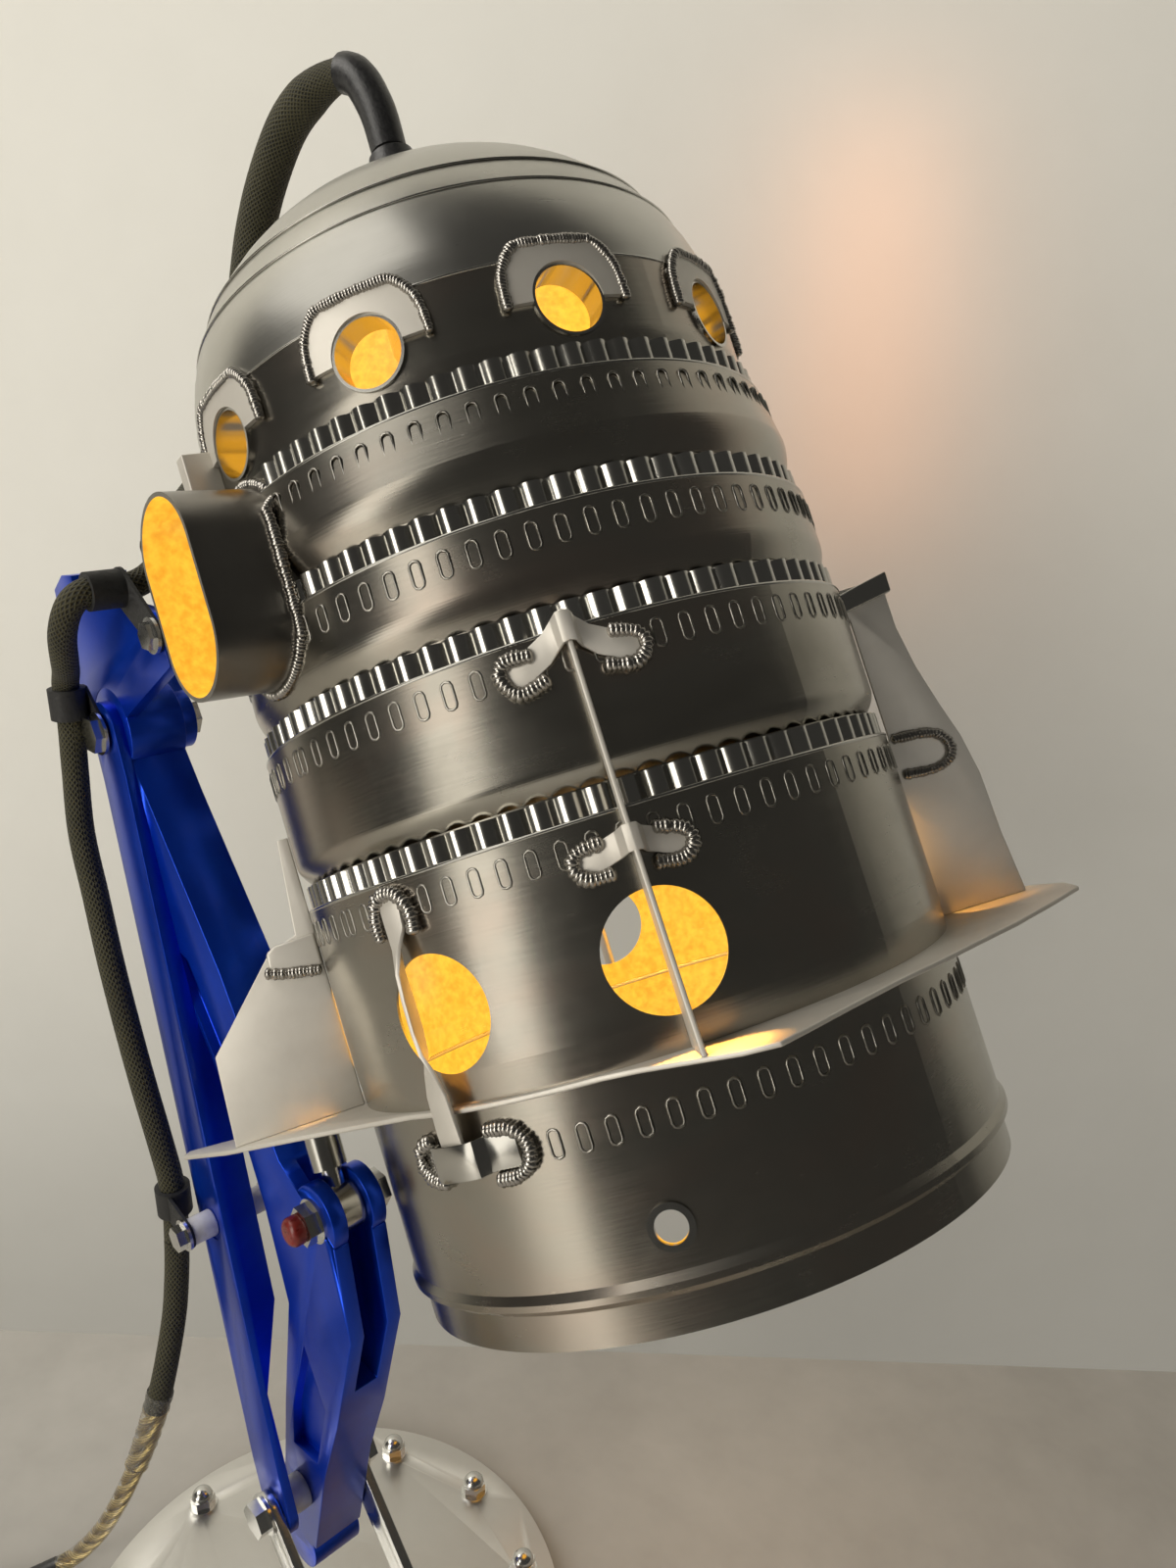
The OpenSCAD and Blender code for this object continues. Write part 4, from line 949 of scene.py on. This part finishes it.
def ringPath(radius, height, low, high):
    count = max(int((high - low) / 3), 2)
    return [onShade(low + (high - low) * k / count, radius, height) for k in range(count + 1)]


marks = {"below": 8.2, "pitch": 4.74, "skirtRadius": 0.1109, "skirtHeight": 0.0605, "skirtCount": 60,
         "skirtFrom": -62, "skirtSweep": 280}
domeSeams = [(89.4, 360.6), (95.9, 349.2), (102.9, 318.0)]


def markRow(name, radius, height, count, start, sweep):
    piece = meshObject(name, [(0, 0, 0)], [], markSteel)
    grow(piece, markTree, Radius=radius, Height=height, Count=count, Start=math.radians(start),
         Sweep=math.radians(sweep), Finish=markSteel)
    piece.data.transform(shadeMatrix)
    place(piece, "shade", "can_steel")


def lipsAndMarks():
    lips = []
    for joint in joints:
        strip(joint)
        for low, high in arcs(joint["lip"], joint["radius"]):
            lips.append(ringPath(joint["radius"] - 0.45, joint["lip"], low, high))
        gap = max(tubeGap(joint["lip"] - 8, joint["radius"], 3), 1)
        sweep = 180 - 2 * gap
        for k, ending in enumerate(("Marks", "MarksBack")):
            markRow(joint["node"] + ending, joint["marks"] / 1000, (joint["lip"] - marks["below"]) / 1000,
                    int(sweep / marks["pitch"]) + 1, tubes["bearings"][k] + gap, sweep)
    markRow("skirtMarks", marks["skirtRadius"], marks["skirtHeight"], marks["skirtCount"],
            marks["skirtFrom"], marks["skirtSweep"])
    # The rolled lips are real edges; their lighter, glossier brightSteel also paints a highlight line along
    # each lip
    edges = grow(wires("rolledLips", lips), edgeTree, Thick=0.0007, Finish=brightSteel)
    place(edges, "shade", "bright_steel")
    seams = [ringPath(radius, height, -180, 180) for radius, height in domeSeams]
    edges = grow(wires("domeSeams", seams), edgeTree, Thick=0.0005, Finish=brightSteel)
    place(edges, "shade", "dome_steel")


lipsAndMarks()
print("strips, lips and marks grown")


# Ribbons: flat straps swept through rows of (bearing, radius, height, half width, across),
# where across is (round the wall, out from it, up the axis)
def ribbon(name, rows, halfThick, material):
    centres, sides = [], []
    for bearing, radius, height, halfWide, across in rows:
        turn = math.radians(bearing)
        outward = Vector((math.cos(turn), math.sin(turn), 0))
        around = Vector((-math.sin(turn), math.cos(turn), 0))
        side = around * across[0] + outward * across[1] + Vector((0, 0, across[2]))
        centres.append(outward * radius + Vector((0, 0, height)))
        sides.append(side.normalized() * halfWide)
    points, faces = [], []
    for i, centre in enumerate(centres):
        run = (centres[min(i + 1, len(rows) - 1)] - centres[max(i - 1, 0)]).normalized()
        thick = sides[i].cross(run).normalized() * halfThick
        for corner in (-sides[i] - thick, sides[i] - thick, sides[i] + thick, thick - sides[i]):
            points.append(shadeMatrix @ ((centre + corner) / 1000))
    for i in range(len(rows) - 1):
        for k in range(4):
            a, b = 4 * i + k, 4 * i + (k + 1) % 4
            faces.append((a, b, b + 4, a + 4))
    last = 4 * (len(rows) - 1)
    faces += [(3, 2, 1, 0), (last, last + 1, last + 2, last + 3)]
    piece = meshObject(name, points, faces, material)
    facedOutward(piece.data)
    bevelled(piece, 0.0003, 2, 40)
    smoothShade(piece.data, 40)
    return piece


upAxis, roundWall = (0, 0, 1), (1, 0, 0)
finStraps = {
    "high": [(-48, 112.6, 192.5), (-44, 112.8, 194.5), (-41, 113.0, 197.5), (-39.2, 114.0, 200.5),
             (-38.4, 117.8, 201.5), (-37.5, 118.4, 201.8), (-36.6, 117.8, 201.3), (-35.9, 114.0, 199.8),
             (-34, 113.0, 196.5), (-31, 112.8, 193.5), (-27.5, 112.6, 191.5)],
    "low": [(-46, 112.6, 134.5), (-42, 112.8, 136), (-39.4, 114.5, 137.5), (-38.4, 120.2, 138.5),
            (-37.5, 120.8, 138.6), (-36.6, 120.2, 138.4), (-35.7, 114.5, 137.2), (-33.5, 112.8, 135.5),
            (-29, 112.6, 132.5)]}


twist = {
    "bearing": -78.5,
    "rows": [(112.7, 143.5, 3.2, roundWall), (112.9, 139, 4.2, roundWall), (113.2, 133, 3.8, roundWall),
             (115.2, 127, 2.6, (0.9, 0.43, 0)), (116.4, 120, 2.3, (0.35, 0.94, 0)),
             (116.6, 112, 2.3, (0.1, 1, 0)), (116.6, 102, 2.4, (0.1, 1, 0)),
             (116.6, 95, 3.0, (0.5, 0.86, 0)), (116.4, 89, 4.4, (0.88, 0.47, 0)),
             (116.2, 82, 5.0, (1, 0.2, 0)), (116.0, 70, 5.0, (1, 0.1, 0)),
             (115.4, 62, 4.8, (1, 0.05, 0)), (114.2, 57.5, 4.6, roundWall)],
    "keeper": [(-88, 111.6, 60.5), (-85.5, 111.9, 60.8), (-83.6, 113.2, 61), (-82.8, 116.8, 61.2),
               (-81, 117.6, 61.3), (-76, 117.6, 61.6), (-74.2, 116.8, 61.7), (-73.4, 113.2, 61.8),
               (-71.5, 111.9, 61.9), (-68, 111.6, 62)]}


def straps():
    for name, half in (("high", 4.6), ("low", 4.0)):
        rows = [(*row, half, upAxis) for row in finStraps[name]]
        place(ribbon(name + "FinStrap", rows, 0.5, finSteel), "shade", "fin_steel")
    rows = [(twist["bearing"], *row) for row in twist["rows"]]
    strap = place(ribbon("twistedStrap", rows, 0.75, finSteel), "shade", "fin_steel")
    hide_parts("twist_strap")
    place(ribbon("strapKeeper", [(*row, 5.6, upAxis) for row in twist["keeper"]], 0.6, brightSteel),
          "shade", "fin_steel")


straps()


# Blocks on the fins: corner points given as (out from the axis, along the face, height)
def block(name, bearing, corners, depth, material, soften):
    turn = math.radians(bearing)
    outward = Vector((math.cos(turn), math.sin(turn), 0))
    around = Vector((-math.sin(turn), math.cos(turn), 0))
    count, points = len(corners), []
    for along in depth:
        for out, height in corners:
            points.append(shadeMatrix @ ((outward * out + around * along + Vector((0, 0, height))) / 1000))
    faces = [tuple(range(count)), tuple(reversed(range(count, 2 * count)))]
    for k in range(count):
        nxt = (k + 1) % count
        faces.append((k, k + count, nxt + count, nxt))
    piece = meshObject(name, points, faces, material)
    facedOutward(piece.data)
    bevelled(piece, soften, 3, 40)
    smoothShade(piece.data, 40)
    return place(piece, "shade", "fin_steel")


clipCorners = [(112, 196.5), (133.4, 200), (133.6, 208), (112, 204)]
tongueCorners = [(112, 128.5), (130.5, 131.5), (130, 138), (126.5, 140), (112, 140.5)]
for finBearing, name in ((48, "right"), (145, "back")):
    block(name + "FinClip", finBearing, clipCorners, (-2.4, 2.4), brightSteel, 0.0008)
block("leftFinTongue", -119, tongueCorners, (0.7, 3.4), finSteel, 0.0011)
bracketCorners = [(101.5, 284), (114, 284), (114, 308), (101.5, 309)]
block("tubeBracket", -92, bracketCorners, (-21, -15.5), finSteel, 0.0006)


# Welds: paths as (bearing, radius, height) rows, or on a fin's face
def onFin(bearing, aside, rows):
    path = []
    for out, height in rows:
        turn = math.degrees(math.atan2(aside, out))
        path.append((bearing + turn, math.hypot(out, aside), height))
    return onWall(path)


hood = {"count": 10, "first": 17, "height": 303, "radius": 104.6,
        "edge": [(-20.4, -0.5), (-20.0, 7), (-18.4, 12.5), (-13.5, 18.4), (-7, 19), (0, 19.2),
                 (7, 19), (13.5, 18.4), (18.4, 12.5), (20.0, 7), (20.4, -0.5)]}


def hoodWelds():
    paths = []
    for k in range(hood["count"]):
        middle = hood["first"] + 360 * k / hood["count"]
        rows = [(middle + math.degrees(math.asin(aside / hood["radius"])), hood["radius"],
                 hood["height"] + up) for aside, up in hood["edge"]]
        paths.append(onWall(rows))
    return paths


def tubeWelds():
    paths = []
    for bearing in tubes["bearings"]:
        rows = []
        for k in range(25):
            turn = 2 * math.pi * k / 24
            aside = tubes["weldRound"] * math.sin(turn)
            up = tubes["weldRound"] * math.cos(turn) + math.copysign(tubes["weldStraight"], math.cos(turn))
            wall = 104.5 if up > 22 else 110.4
            rows.append((bearing + math.degrees(math.asin(aside / wall)), wall, tubes["height"] + up))
        paths.append(onWall(rows))
    return paths


strapWelds = [onWall([(b, 113.3, h) for b, h in rows]) for rows in (
    [(-43.8, 197), (-47.4, 197.4), (-48.8, 193), (-46.6, 186.8), (-42.4, 188.6)],
    [(-31, 197.5), (-27.4, 195.5), (-26.4, 191), (-28.6, 186.6), (-33, 188)],
    [(-42, 139.6), (-45.6, 138.6), (-46.8, 134.5), (-45, 130.4), (-41.6, 130)],
    [(-33.4, 139.4), (-29.6, 137), (-28.6, 132.5), (-30.6, 128.6), (-34.6, 129.6)],
    [(-82.4, 131.5), (-82.2, 138), (-80.4, 143.6), (-76.8, 143.8), (-74.6, 138), (-74.6, 131.5)])]
strapWelds += [onWall([(b, 112.2, h) for b, h in rows]) for rows in (
    [(-86, 67.5), (-89, 65), (-89.6, 60), (-87.6, 55.4), (-84.6, 54)],
    [(-72.6, 68.5), (-68.6, 68), (-66.2, 63.5), (-66.4, 57.5), (-69, 54), (-72.4, 53.6)])]
finLoop = [(117, 145.5), (128, 144.5), (134, 142), (136.4, 137), (134.5, 132.4), (128, 130.4),
           (117, 131.4)]
finWelds = [onFin(48, -1.2, finLoop), onFin(145, 1.2, finLoop),
            onFin(-119, 2.4, [(114, 127.2), (120, 128.4), (126, 129.6), (131, 131.2)])]
for name, paths, size in (("hoodWeld", hoodWelds(), 0.0019), ("tubeWeld", tubeWelds(), 0.0021),
                          ("strapWeld", strapWelds, 0.0025), ("finWeld", finWelds, 0.0022)):
    bead = grow(wires(name, paths), beadTree, Size=size, Spacing=size * 0.56, Seed=11, Finish=weldSteel)
    smoothShade(bead.data, 60)
    place(bead, "shade", "fin_steel")
print("straps and welds grown")


# CAD nodes that keep their shape take their finish here
def dress(names, material):
    for name in names.split():
        mesh = nodes[name].data
        mesh.materials.clear()
        mesh.materials.append(material)


dress("skirt band_port band_plain band_low band_high eye_band", heatSteel)
smoothCopy("dome", domeSteel)
dress("strip_1 strip_2 strip_3 strip_4 eye_tubes rim_eyelet rod_boss rod_end", brightSteel)
dress("eye_hoods twist_strap fin_front fin_right fin_back fin_left wing_ring", finSteel)
dress("tube_near", nearTubeSteel)
dress("tube_far", farTubeSteel)
dress("dome_nuts hinge_bolt head_bolt fork_bolt clip_bolt mid_bolt strap_near strap_far", hardware)
dress("lever brace head_block", blueAnodised)
dress("hinge_spacer mid_spacers", nylonWhite)
dress("base_plate", plateSteel)
dress("foot_pad clip_top clip_head clip_mid", rubberBlack)
dress("fork_cap", redMoulding)
dress("cord_switch switch_rocker plug coil_tie dome_gland", blackMoulding)
dress("lampholder", porcelain)
dress("bulb", bulbGlow)
for name in "lever brace head_block".split():
    softEdged(name, 0.0009, blueAnodised)
for name in "strap_near strap_far".split():
    softEdged(name, 0.0005, hardware)
for name in "fin_front fin_right fin_back fin_left wing_ring".split():
    softEdged(name, 0.00045, finSteel)
softEdged("base_plate", 0.0008, plateSteel)
softEdged("cord_switch", 0.0016, blackMoulding, 3)
softEdged("fork_cap", 0.0009, redMoulding, 3)
for name in "hinge_spacer mid_spacers".split():
    softEdged(name, 0.0005, nylonWhite)
print("nodes dressed")


# Stage: a table whose far edge is where the photograph has it, and a wall
stage = {"edge": 0.176, "wall": 0.46, "along": (0.7176, 0.6964), "away": (-0.6964, 0.7176),
         "half": 2.2, "front": -2.0, "thick": 0.03, "low": -0.8, "high": 2.4}


def stageMaterial(name, low, high, scale, rough):
    material, tree, bsdf = newMaterial(name)
    cloud = placeGroup(tree, grainGroup, objectVector(tree), Stretch=(scale, scale, scale),
                       Blotch_Scale=5.0, Blotch=0.6)
    tree.links.new(ramp(tree, cloud.outputs["Mask"], [(0.3, low), (0.7, high)]), bsdf.inputs["Base Color"])
    bsdf.inputs["Roughness"].default_value = rough
    return material


def seenThroughFromBehind(material):
    tree = material.node_tree
    face = tree.nodes.new("ShaderNodeNewGeometry")
    clear = tree.nodes.new("ShaderNodeBsdfTransparent")
    either = tree.nodes.new("ShaderNodeMixShader")
    tree.links.new(face.outputs["Backfacing"], either.inputs[0])
    tree.links.new(tree.nodes["Principled BSDF"].outputs[0], either.inputs[1])
    tree.links.new(clear.outputs[0], either.inputs[2])
    tree.links.new(either.outputs[0], tree.nodes["Material Output"].inputs["Surface"])


def stagePoint(along, away, height):
    a, b = Vector(stage["along"]), Vector(stage["away"])
    flat = a * along + b * away
    return Vector((flat.x, flat.y, height))


half = stage["half"]
tablePoints = [stagePoint(-half, stage["front"], 0), stagePoint(half, stage["front"], 0),
               stagePoint(half, stage["edge"], 0), stagePoint(-half, stage["edge"], 0),
               stagePoint(half, stage["edge"], -stage["thick"]),
               stagePoint(-half, stage["edge"], -stage["thick"])]
table = meshObject("table", tablePoints, [(0, 1, 2, 3), (3, 2, 4, 5)],
                   stageMaterial("tableStone", (0.33, 0.315, 0.285), (0.43, 0.41, 0.375), 30.0, 0.42))
wallPoints = [stagePoint(-half, stage["wall"], stage["low"]), stagePoint(half, stage["wall"], stage["low"]),
              stagePoint(half, stage["wall"], stage["high"]), stagePoint(-half, stage["wall"], stage["high"])]
wall = meshObject("wall", wallPoints, [(0, 1, 2, 3)],
                  stageMaterial("wallPaint", (0.64, 0.625, 0.57), (0.67, 0.655, 0.60), 20.0, 0.8))
seenThroughFromBehind(wall.data.materials[0])
table.visible_shadow = False  # the wall below its edge stays lit


# Lights: a window behind the camera's left and a panel above, both again and dimmer for
# the can to mirror, a wash for table and wall, and amber on the fins and the wall
def linked(lamp, members, state):
    group = bpy.data.collections.new(lamp.name + "Reach")
    for member in members:
        group.objects.link(member)
    for entry in group.collection_objects:
        entry.light_linking.link_state = state
    lamp.light_linking.receiver_collection = group


def areaLight(name, place, target, size, power, colour):
    light = bpy.data.lights.new(name, "AREA")
    light.shape = "RECTANGLE"
    light.size, light.size_y = size
    light.energy = power
    light.color = colour
    lamp = bpy.data.objects.new(name, light)
    lamp.location = place
    lamp.rotation_mode = "QUATERNION"
    lamp.rotation_quaternion = (Vector(target) - Vector(place)).to_track_quat("-Z", "Y")
    scene.collection.objects.link(lamp)
    return lamp


def pointLight(name, place, power, colour, size):
    light = bpy.data.lights.new(name, "POINT")
    light.energy = power
    light.color = colour
    light.shadow_soft_size = size
    lamp = bpy.data.objects.new(name, light)
    lamp.location = place
    scene.collection.objects.link(lamp)
    return lamp


windowTint, skyTint = (1.0, 0.95, 0.86), (1.0, 0.96, 0.89)
canSteels = (heatSteel, domeSteel, nearTubeSteel, farTubeSteel, markSteel, weldSteel, brightSteel)
meshes = [thing for thing in scene.objects if thing.type == "MESH" and thing.data.materials]
canPieces = [thing for thing in meshes if thing.data.materials[0] in canSteels]
finPieces = [thing for thing in meshes if thing.data.materials[0] == finSteel]
windowLeft = areaLight("windowLeft", (0.15, -1.65, 0.70), (0.03, 0.1, 0.42), (0.7, 1.3), 16.0,
                       windowTint)
skyAbove = areaLight("skyAbove", (-0.75, -0.85, 1.65), (0.0, 0.12, 0.4), (1.1, 0.9), 13.0,
                     skyTint)
linked(windowLeft, canPieces, "EXCLUDE")
linked(skyAbove, canPieces, "EXCLUDE")
windowOnCan = areaLight("windowOnCan", (0.15, -1.65, 0.75), (0.03, 0.1, 0.42), (0.6, 1.5), 5.2,
                        windowTint)
skyOnCan = areaLight("skyOnCan", (-0.5, -0.75, 1.7), (0.0, 0.12, 0.4), (1.3, 1.2), 6.0,
                     skyTint)
linked(windowOnCan, canPieces, "INCLUDE")
linked(skyOnCan, canPieces, "INCLUDE")
wash = areaLight("roomWash", (0.9, -0.9, 0.9), (0.0, 0.3, 0.3), (2.0, 1.6), 20.0, (1.0, 0.98, 0.94))
linked(wash, [table, wall], "INCLUDE")
bulbLamp = pointLight("bulbLight", onShade(0, 0, 262), 4.0, (1.0, 0.46, 0.09), 0.02)
linked(bulbLamp, finPieces, "INCLUDE")
finFill = areaLight("finFill", (1.2, -0.4, 0.7), (0.1, 0.15, 0.35), (0.9, 0.9), 2.2, skyTint)
linked(finFill, finPieces, "INCLUDE")
patch = areaLight("amberOnWall", (-0.064, 0.466, 0.56), (-0.121, 0.523, 0.55), (0.07, 0.26), 0.08,
                  (1.0, 0.36, 0.10))
linked(patch, [wall], "INCLUDE")
patch.visible_camera = False
patch.visible_glossy = False
world = bpy.data.worlds.new("room")
world.use_nodes = True
background = world.node_tree.nodes["Background"]
background.inputs["Color"].default_value = (0.55, 0.53, 0.49, 1)
background.inputs["Strength"].default_value = 0.09
scene.world = world
print("stage and lights set")
